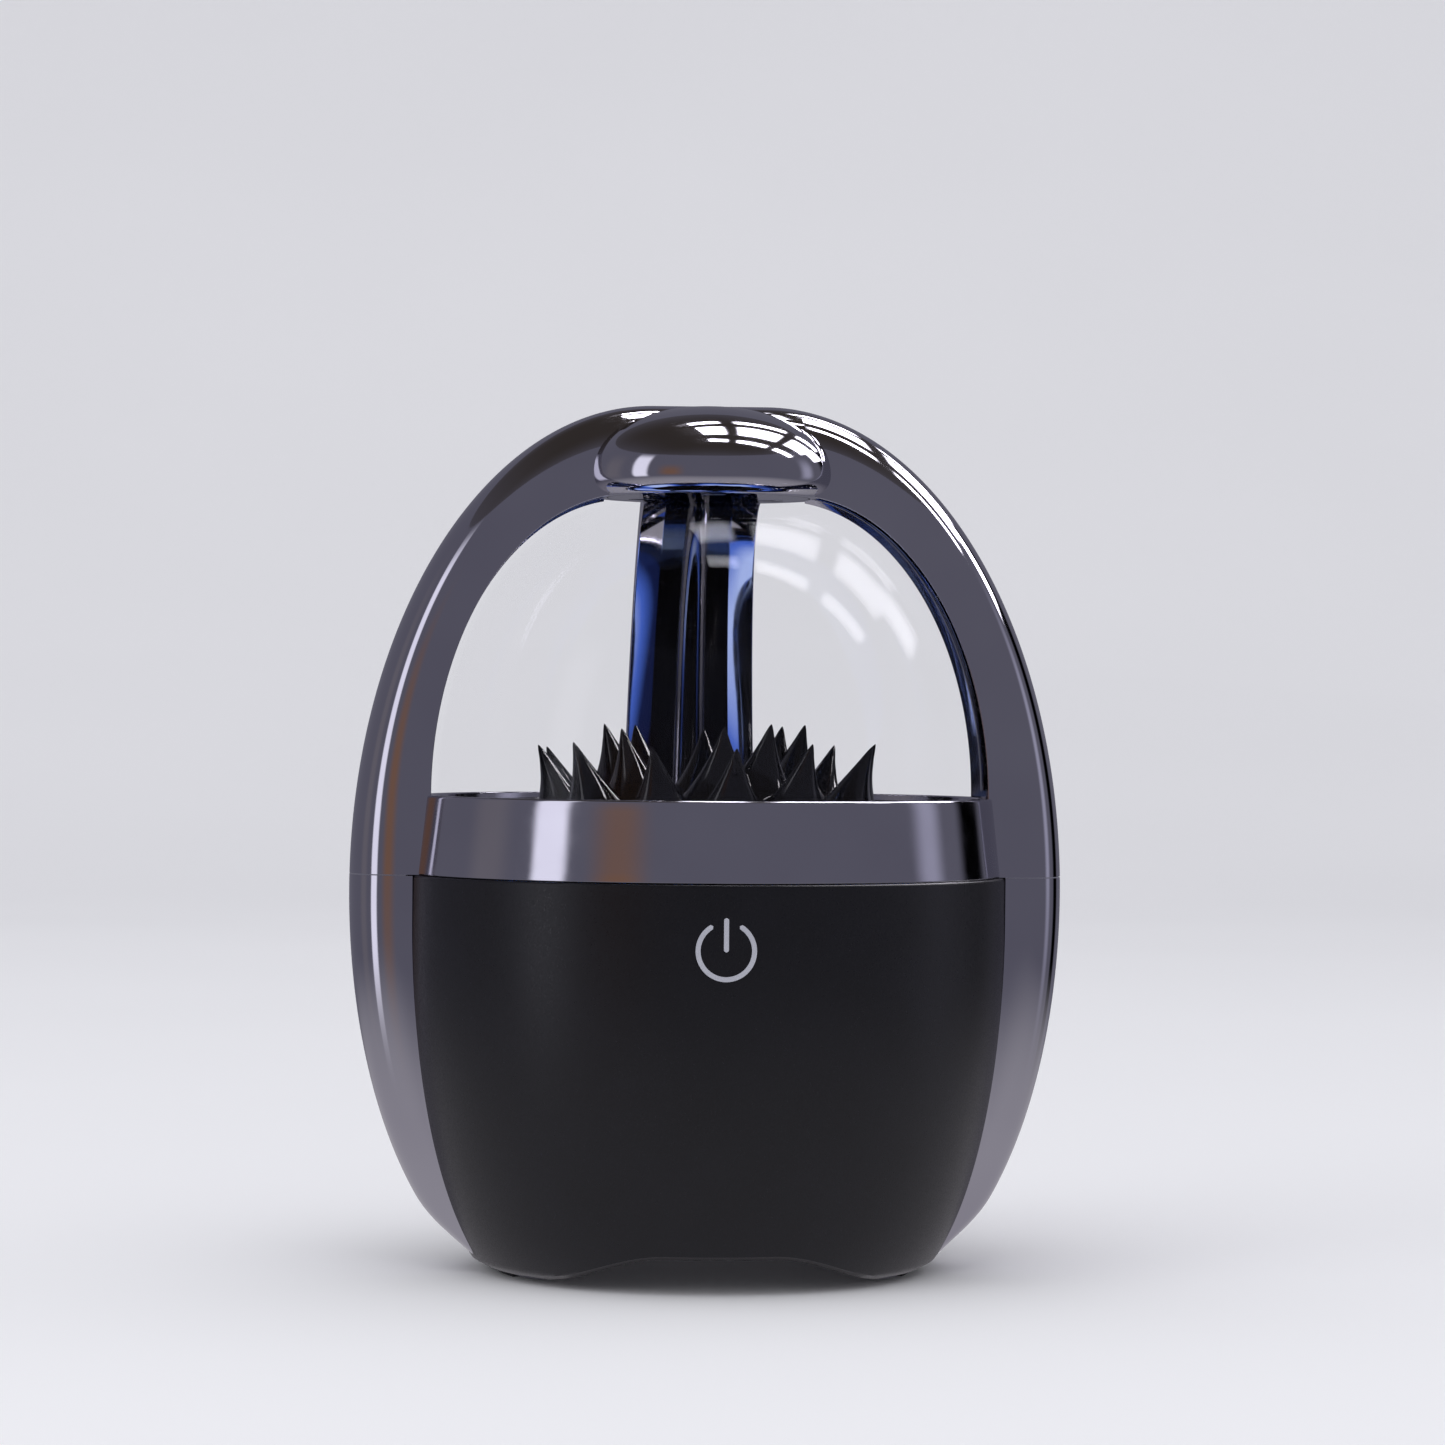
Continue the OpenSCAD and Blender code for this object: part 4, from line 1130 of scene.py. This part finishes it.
@dataclass
class PowerIcon:
    """A generic power sign, a broken ring with an upright bar, inlaid flush in the shell."""

    shell_r: float
    radius: float = 5.05 * MM
    line: float = 0.82 * MM
    gap: float = 28.0
    sink: float = 0.5 * MM

    def stroke(self, name: str, path: np.ndarray) -> bpy.types.Object:
        """A line with round ends on the shell's curve, closed behind.

        Args:
            name: the piece's name.
            path: array of [across, up] points of the line's middle.

        Returns:
            The stroke's object.
        """
        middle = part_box("power_icon")[1].z - self.radius - self.line / 2
        way = np.gradient(path, axis=0)
        way /= np.linalg.norm(way, axis=1, keepdims=True)
        side = np.stack([-way[:, 1], way[:, 0]], axis=1)
        run = np.concatenate([[0], np.cumsum(np.linalg.norm(np.diff(path, axis=0), axis=1))])
        r = self.line / 2
        end = np.minimum(np.minimum(run, run[-1] - run) / r, 1)
        half = r * np.sqrt(np.maximum(1 - (1 - end) ** 2, 1e-5))
        # The stroke's section: its face in four steps, then its back, as [side, out] shares.
        loop = np.array([[-1, 1], [-0.5, 1], [0, 1], [0.5, 1], [1, 1], [1, 0], [-1, 0]], float)
        flat = path[:, None] + side[:, None] * (half[:, None, None] * loop[None, :, :1])
        radius = self.shell_r - self.sink * (1 - loop[None, :, 1]) * np.ones((len(path), 1))
        a = flat[..., 0] / self.shell_r
        points = np.stack([radius * np.sin(a), -radius * np.cos(a), middle + flat[..., 1]], axis=-1)
        return skin(name, points, wrap_cols=True, capped=True)

    def build(self) -> None:
        """Makes the broken ring and the bar."""
        mid = self.radius - self.line / 2
        a = np.radians(np.linspace(90 + self.gap, 450 - self.gap, 96))
        ring = np.stack([mid * np.cos(a), mid * np.sin(a)], axis=1)
        up = np.linspace(-self.line / 4, self.radius + self.line / 2, 30)
        bar = np.stack([np.zeros_like(up), up], axis=1)
        for name, path in (("icon_ring", ring), ("icon_bar", bar)):
            dressed(self.stroke(name, path), Look.ICON, "icon_grey", "power_icon")


# ---------------------------------------------------------------- dome and fluid


@dataclass
class Dome:
    """The clear dome: a quarter ellipse turned about Z, with an even wall."""

    egg: Contours
    wall: float = 0.8 * MM

    def build(self) -> None:
        """Makes the dome as one closed wall, its inside set back along the ellipse's normal."""
        e = self.egg
        low, high = foot_of("glass_dome"), top_of("glass_dome")
        flat = e.flat_r - e.seat_gap
        t = np.linspace(0, math.pi / 2, 90)
        radius = flat + (e.dome_r - flat) * np.cos(t)
        height = e.ring_top + (high - e.ring_top) * np.sin(t)
        across, up = (high - e.ring_top) * np.cos(t), (e.dome_r - flat) * np.sin(t)
        length = np.hypot(across, up)
        inner_r = np.maximum(radius - self.wall * across / length, 0)
        inner_z = height - self.wall * up / length
        foot = rounded([(e.dome_r - self.wall, low, 0.3 * MM), (e.dome_r, low, 0.3 * MM),
                        (e.dome_r, low + 4 * MM, 0.1 * MM)])
        outside = np.stack([radius, height], axis=1)
        inside = np.stack([inner_r, inner_z], axis=1)[::-1]
        crown = np.array([[0, high], [0, high - self.wall]])
        outline = np.concatenate([foot[:10], outside, crown, inside])
        piece = turned("clear_dome_skin", outline, sides=224)
        dressed(piece, Look.CLEAR, "clear_dome", "glass_dome")


@dataclass
class Ferrofluid:
    """Fluid drawn up by the magnet: a low mound, an outer crown of leaning spikes and an inner."""

    floor: float = foot_of("ferrofluid")
    pool_r: float = 30 * MM
    outer_bearings: tuple = (2, 36, 60, 82, 112, 157, 184, 217, 248, 276, 304, 338)
    inner_bearings: tuple = (12, 38, 88, 131, 180, 212, 276, 304)
    outer_tip_r: float = 29.8 * MM
    inner_tip_r: float = 18 * MM
    outer_tip_h: float = 91.3 * MM
    inner_tip_h: float = 94.6 * MM
    lean: float = 0.42
    flare: float = 0.26
    spread: float = 0.0012
    thickest: float = 9.0
    mound_h: float = 7.5 * MM
    slump: float = 0.55
    rim_h: float = 2.7 * MM
    voxel: float = 0.32 * MM
    steps: int = 44
    around: int = 36

    def spike(self, tip: np.ndarray, foot: np.ndarray, stretch: float, turn: float) -> np.ndarray:
        """Points of one spike, a thorn that flares into the pool.

        At depth d below the tip its radius is flare (sqrt(d) + d) + spread d^3, in millimetres and
        up to the thickest, and its middle runs from the tip to the foot along a slightly bent
        line.

        Args:
            tip: the tip's place.
            foot: where its middle meets the floor.
            stretch: how much wider it is across its lean.
            turn: the direction of its lean, in radians.

        Returns:
            Array of steps by around by 3.
        """
        s = np.linspace(0, 1, self.steps)[:, None] ** 1.3
        fall = (tip[2] - foot[2]) / MM * s
        flared = self.flare * np.sqrt(fall) + self.flare * fall + self.spread * fall**3
        radius = np.minimum(flared, self.thickest) * MM
        bend = s + 0.25 * s * (1 - s)
        middle = tip[:2] + (foot[:2] - tip[:2]) * bend
        a = np.linspace(0, TURN, self.around, endpoint=False)[None, :]
        wave = 1 + 0.06 * np.sin(3 * a + 5 * turn)
        along, across = radius * np.cos(a) * wave, radius * np.sin(a) * wave * stretch
        x = middle[:, :1] + along * math.cos(turn) - across * math.sin(turn)
        y = middle[:, 1:] + along * math.sin(turn) + across * math.cos(turn)
        z = np.broadcast_to(tip[2] - fall * MM, x.shape)
        return np.stack([x, y, z], axis=-1)

    def crown_of(self, bearings: tuple, tip_r: float, tip_h: float) -> list[np.ndarray]:
        """A ring of spikes, their reach and height varied by sines.

        Args:
            bearings: the spikes' bearings in degrees.
            tip_r: the tips' radius.
            tip_h: the tips' height.

        Returns:
            The points of each spike.
        """
        spikes = []
        for k, bearing in enumerate(bearings):
            turn = math.radians(bearing)
            r = tip_r * (1 + 0.03 * math.sin(3.1 * k))
            h = tip_h + 0.5 * MM * math.sin(1.9 * k + 1)
            out = np.array([math.cos(turn), math.sin(turn)])
            fall = h - self.floor
            tip = np.array([*(out * r), h])
            foot = np.array([*(out * (r - self.lean * fall * r / self.outer_tip_r)), self.floor])
            spikes.append(self.spike(tip, foot, 1.12, turn))
        return spikes

    def pool(self) -> np.ndarray:
        """The mound the spikes stand in: a disc that swells to the middle, with an upright rim."""
        disc, rim = np.linspace(0, 1, 20)[:, None], np.ones((6, 1))
        side = np.linspace(self.rim_h, 0, len(rim))[:, None]
        height = np.concatenate([self.mound_h * (1 - self.slump * disc**3), side])
        a = np.linspace(0, TURN, 96, endpoint=False)[None, :]
        radius = np.concatenate([disc, rim]) * self.pool_r * (1 + 0.015 * np.sin(7 * a))
        level = np.broadcast_to(self.floor + height, radius.shape)
        return np.stack([radius * np.cos(a), radius * np.sin(a), level], axis=-1)

    def build(self) -> None:
        """Joins the pool and the spikes into one liquid skin, then sets the fine tips back on."""
        spikes = self.crown_of(self.outer_bearings, self.outer_tip_r, self.outer_tip_h)
        spikes += self.crown_of(self.inner_bearings, self.inner_tip_r, self.inner_tip_h)
        parts = [skin(f"spike_{k}", p, wrap_cols=True, capped=True) for k, p in enumerate(spikes)]
        parts.append(skin("pool", self.pool(), wrap_cols=True, capped=True))
        piece = joined("ferrofluid_skin", parts)
        remesh = piece.modifiers.new("one_skin", "REMESH")
        remesh.mode, remesh.voxel_size = "VOXEL", self.voxel
        smooth = piece.modifiers.new("settle", "SMOOTH")
        smooth.factor, smooth.iterations = 0.5, 9
        apply_modifiers(piece)
        tips = []
        upper = self.steps // 2
        shrink = np.linspace(1.0, 0.86, upper)[:, None, None]
        for k, p in enumerate(spikes):
            centre = p[:upper].mean(axis=1, keepdims=True)
            tip = centre + (p[:upper] - centre) * shrink
            tips.append(skin(f"tip_{k}", tip, wrap_cols=True, capped=True))
        piece = joined("ferrofluid_skin", [piece, *tips])
        piece.data.shade_smooth()
        dressed(piece, Look.FLUID, "magnetic_fluid", "ferrofluid")


def joined(name: str, parts: list[bpy.types.Object]) -> bpy.types.Object:
    """Joins objects that sit at the origin into one new object and removes them.

    Args:
        name: the new object's name.
        parts: objects with their places in their meshes.

    Returns:
        The new object.
    """
    work = bmesh.new()
    for part in parts:
        work.from_mesh(part.data)
        bpy.data.objects.remove(part)
    mesh = bpy.data.meshes.new(name)
    work.to_mesh(mesh)
    work.free()
    return linked(name, mesh)


# ---------------------------------------------------------------- carried-over CAD nodes


def dress_frame_nodes() -> None:
    """Gives every CAD node the procedural material of its slot."""
    for entry in frame["record"]["subparts"]:
        node = frame["nodes"][entry["node"]]
        node.data.materials.clear()
        node.data.materials.append(SLOT_LOOKS[entry["material_slot"]].material())


# ---------------------------------------------------------------- studio


def mirror_only(stage: bpy.types.Object) -> None:
    """Marks a stage piece that is seen in mirrors and lights nothing.

    Args:
        stage: the stage piece.
    """
    stage.visible_camera = False
    stage.visible_diffuse = False
    stage.visible_shadow = False
    stage.visible_transmission = False
    stage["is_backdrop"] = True


def emitter(name: str, colour: str, strength: float) -> bpy.types.Material:
    """An even light of one colour.

    Args:
        name: the material's name.
        colour: sRGB hex code.
        strength: the light's strength.

    Returns:
        The glowing material.
    """
    material = bare_material(name)
    tree = material.node_tree
    light = add_node(
        tree, "ShaderNodeEmission", {"Color": hex_colour(colour), "Strength": strength}
    )
    add_node(tree, "ShaderNodeOutputMaterial", links={"Surface": light.outputs[0]})
    return material


def rippled_glow() -> bpy.types.Material:
    """The blue light over the dish, in pools that fade from deep blue to near white.

    Returns:
        The glowing material.
    """
    s = Surface(
        "lamp glow", {"Base Color": (0, 0, 0, 1), "Roughness": 1.0, "Specular IOR Level": 0.0}
    )
    ramp = add_node(s.tree, "ShaderNodeValToRGB", links={"Fac": s.noise(24 * MM, 0.0)})
    deep, pale = ramp.color_ramp.elements
    deep.position, deep.color = 0.36, hex_colour("#101a40")
    pale.position, pale.color = 0.66, hex_colour("#b9ceff")
    ramp.color_ramp.elements.new(0.52).color = hex_colour("#4c6fd0")
    s.tree.links.new(ramp.outputs["Color"], s.shader.inputs["Emission Color"])
    s.shader.inputs["Emission Strength"].default_value = 1.3
    return s.material


@dataclass
class Panel:
    """A soft-edged panel of light that shows only in mirrors.

    Its azimuth and elevation are in degrees, seen from the middle of the speaker, with the front
    at 0.  Its softness is the share of its size over which its edges fade.
    """

    name: str
    azimuth: float
    elevation: float
    width: float
    height: float
    colour: str
    strength: float
    softness: float = 0.25
    distance: float = 1.6
    shift: tuple[float, float] = (0.0, 0.0)

    def build(self, centre: Vector) -> None:
        """Sets the panel up, facing the speaker.

        The light falls off towards the panel's edges as a smooth step of the distance to them.

        Args:
            centre: the point that the panel faces.
        """
        a, e = math.radians(self.azimuth), math.radians(self.elevation)
        way = Vector((math.sin(a) * math.cos(e), -math.cos(a) * math.cos(e), math.sin(e)))
        mesh = bpy.data.meshes.new(self.name)
        w, h = self.width / 2, self.height / 2
        mesh.from_pydata([(-w, -h, 0), (w, -h, 0), (w, h, 0), (-w, h, 0)], [], [(0, 1, 2, 3)])
        layer = mesh.uv_layers.new(name="sheet")
        layer.data.foreach_set("uv", [0, 0, 1, 0, 1, 1, 0, 1])
        panel = linked(self.name, mesh)
        turn = way.to_track_quat("Z", "Y").to_matrix().to_4x4()
        place = Matrix.Translation(centre + way * self.distance) @ turn
        panel.matrix_world = place @ Matrix.Translation((*self.shift, 0))
        mesh.materials.append(self.glow())
        mirror_only(panel)

    def glow(self) -> bpy.types.Material:
        """The panel's light, faded at its edges over a share of its size.

        Returns:
            The panel's material.
        """
        material = bare_material(self.name)
        tree = material.node_tree
        uv = add_node(tree, "ShaderNodeTexCoord").outputs["UV"]
        split = add_node(tree, "ShaderNodeSeparateXYZ", links={"Vector": uv})
        fades = []
        for axis in ("X", "Y"):
            away = add_node(
                tree, "ShaderNodeMath", {"operation": "PINGPONG", 1: 0.5}, {0: split.outputs[axis]}
            ).outputs["Value"]
            fades.append(
                add_node(
                    tree,
                    "ShaderNodeMapRange",
                    {"interpolation_type": "SMOOTHSTEP", "From Max": self.softness},
                    {"Value": away},
                ).outputs["Result"]
            )
        share = add_node(
            tree, "ShaderNodeMath", {"operation": "MULTIPLY"}, {0: fades[0], 1: fades[1]}
        ).outputs["Value"]
        light = add_node(
            tree,
            "ShaderNodeEmission",
            {"Color": hex_colour(self.colour), "Strength": self.strength},
        )
        clear = add_node(tree, "ShaderNodeBsdfTransparent")
        mix = add_node(
            tree, "ShaderNodeMixShader", links={0: share, 1: clear.outputs[0], 2: light.outputs[0]}
        )
        add_node(tree, "ShaderNodeOutputMaterial", links={"Surface": mix.outputs[0]})
        return material


@dataclass
class Studio:
    """The pale sweep, the soft lamps, the mirror-only panels and the camera."""

    distance: float = 787.5 * MM
    eye: float = 95.3 * MM
    azimuth: float = -3.8
    aim_right: float = 0.2
    roll: float = 0.42
    lens: float = 112.1
    sensor: float = 36.0

    def camera(self) -> None:
        """A level camera a little left of the front."""
        a = math.radians(self.azimuth)
        data = bpy.data.cameras.new("camera")
        data.lens, data.sensor_width = self.lens, self.sensor
        camera = linked("camera", data)
        spot = Vector((self.distance * math.sin(a), -self.distance * math.cos(a), self.eye))
        heading = a - math.radians(self.aim_right)
        turn = Matrix.Rotation(heading, 4, "Z") @ Matrix.Rotation(math.pi / 2, 4, "X")
        turn = turn @ Matrix.Rotation(math.radians(self.roll), 4, "Z")
        camera.matrix_world = Matrix.Translation(spot) @ turn
        data.clip_start, data.clip_end = 0.01, 50
        bpy.context.scene.camera = camera

    def sweep(self) -> None:
        """A floor that curves up into a back wall: a quarter circle between two flats."""
        radius, depth, wall, front, side = 2.2, 1.6, 3.0, -4.0, 6.0
        a = np.linspace(0, math.pi / 2, 48)
        y = np.concatenate([[front], depth + radius * np.sin(a), [depth + radius]])
        z = np.concatenate([[0.0], radius * (1 - np.cos(a)), [radius + wall]])
        x = np.linspace(-side, side, 5)
        shape = (len(y), len(x))
        grids = [np.broadcast_to(grid, shape) for grid in (x, y[:, None], z[:, None])]
        sweep = skin("sweep", np.stack(grids, axis=-1))
        s = Surface("painted pale sweep", {"Roughness": 0.9, "Specular IOR Level": 0.1})
        s.tint(s.noise(0.6, 2.0), "#eeeef0", "#f1f1f3")
        sweep.data.materials.append(s.material)
        sweep.visible_glossy = False
        sweep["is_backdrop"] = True

    def lamps(self) -> None:
        """A wide overhead lamp, a fill at one side and an even pale room."""
        aim = Vector((0, 0, 80 * MM))
        world = bpy.data.worlds.new("room")
        bpy.context.scene.world = world
        world.use_nodes = True
        back = world.node_tree.nodes["Background"]
        back.inputs["Color"].default_value = hex_colour("#e4e4e8")
        back.inputs["Strength"].default_value = 0.98
        for name, place, size, power in (
            ("overhead", (-0.2, -0.5, 1.9), 1.6, 9.0),
            ("side_fill", (-1.7, -1.1, 0.9), 1.0, 5.0),
        ):
            data = bpy.data.lights.new(name, "AREA")
            data.size, data.energy = size, power
            data.color = (0.97, 0.98, 1.0)
            lamp = linked(name, data)
            lamp.location = place
            lamp.rotation_euler = (aim - Vector(place)).to_track_quat("-Z", "Y").to_euler()
            lamp.visible_glossy = False

    def panels(self) -> None:
        """What the chrome mirrors: a dim room, strips, warm and dark stretches and a window."""
        room = bpy.data.meshes.new("dim_room")
        work = bmesh.new()
        bmesh.ops.create_icosphere(work, subdivisions=4, radius=2.4)
        work.to_mesh(room)
        work.free()
        room.materials.append(emitter("dim room", "#6a6975", 1.0))
        mirror_only(linked("dim_room", room))
        ledge = np.array([[30.5, 79], [46.5, 79], [46.5, 78.8], [30.5, 78.8]]) * MM
        glow = turned("lamp_glow", ledge, 64)
        glow.data.materials.append(rippled_glow())
        mirror_only(glow)
        centre = Vector((0, 0, 90 * MM))
        for sheet in (
            Panel("floor_glow", 0, -90, 0.9, 0.9, "#c2bfc6", 0.75, 0.42, 0.089),
            Panel("left_strip", -66, 10, 0.52, 1.9, "#f4f3ff", 1.35, 0.22),
            Panel("warm_wall", -37, 2, 0.84, 1.2, "#94725f", 0.8, 0.45),
            Panel("left_dim", -96, 6, 0.8, 2.0, "#8a868e", 0.75, 0.4),
            Panel("right_strip", 92, 6, 0.6, 1.6, "#b9b8cc", 0.9, 0.45),
            Panel("right_dark", 122, 6, 0.7, 2.2, "#0b0b0e", 0.1, 0.3),
            Panel("ceiling", 0, 90, 6.4, 6.4, "#453f3b", 0.8, 0.42, 1.5),
        ):
            sheet.build(centre)
        daylight, near = "#fbf8ff", 1.3
        for row, (across, width) in enumerate(((0.78, 0.17), (0.28, 0.5), (-0.3, 0.17))):
            for column in (-1, 0, 1):
                shift = (across, 0.1 - 0.58 * column)
                name = f"window_{row}_{column + 1}"
                Panel(name, 96, 62, width, 0.5, daylight, 11.0, 0.14, near, shift).build(centre)
        Panel("low_window", 114, 28, 0.34, 0.34, daylight, 12.0, 0.2, near).build(centre)

    def build(self) -> None:
        """Sets up the camera, the sweep and the lights."""
        self.camera()
        self.sweep()
        self.lamps()
        self.panels()
        view = bpy.context.scene.view_settings
        view.view_transform, view.look, view.exposure = "Standard", "None", 0.0


# ---------------------------------------------------------------- assembly


def write_sizes() -> None:
    """Lays the CAD box and the finished box side by side; nothing is written out."""
    boxes = {"cad": CAD_BOX, "visual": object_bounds()}
    sizes = {name: [list(corner) for corner in box] for name, box in boxes.items()}


def main() -> None:
    """Builds the studio and each sub-assembly in order."""
    logging.basicConfig(level=logging.INFO, format="%(name)s: %(message)s")
    egg = Contours()
    Studio().build()
    dress_frame_nodes()
    for assembly in (Base(egg), Cage(egg), Dome(egg), Ferrofluid()):
        assembly.build()
        LOG.info("%s built", type(assembly).__name__)
    write_sizes()


if __name__ == "__main__":
    main()
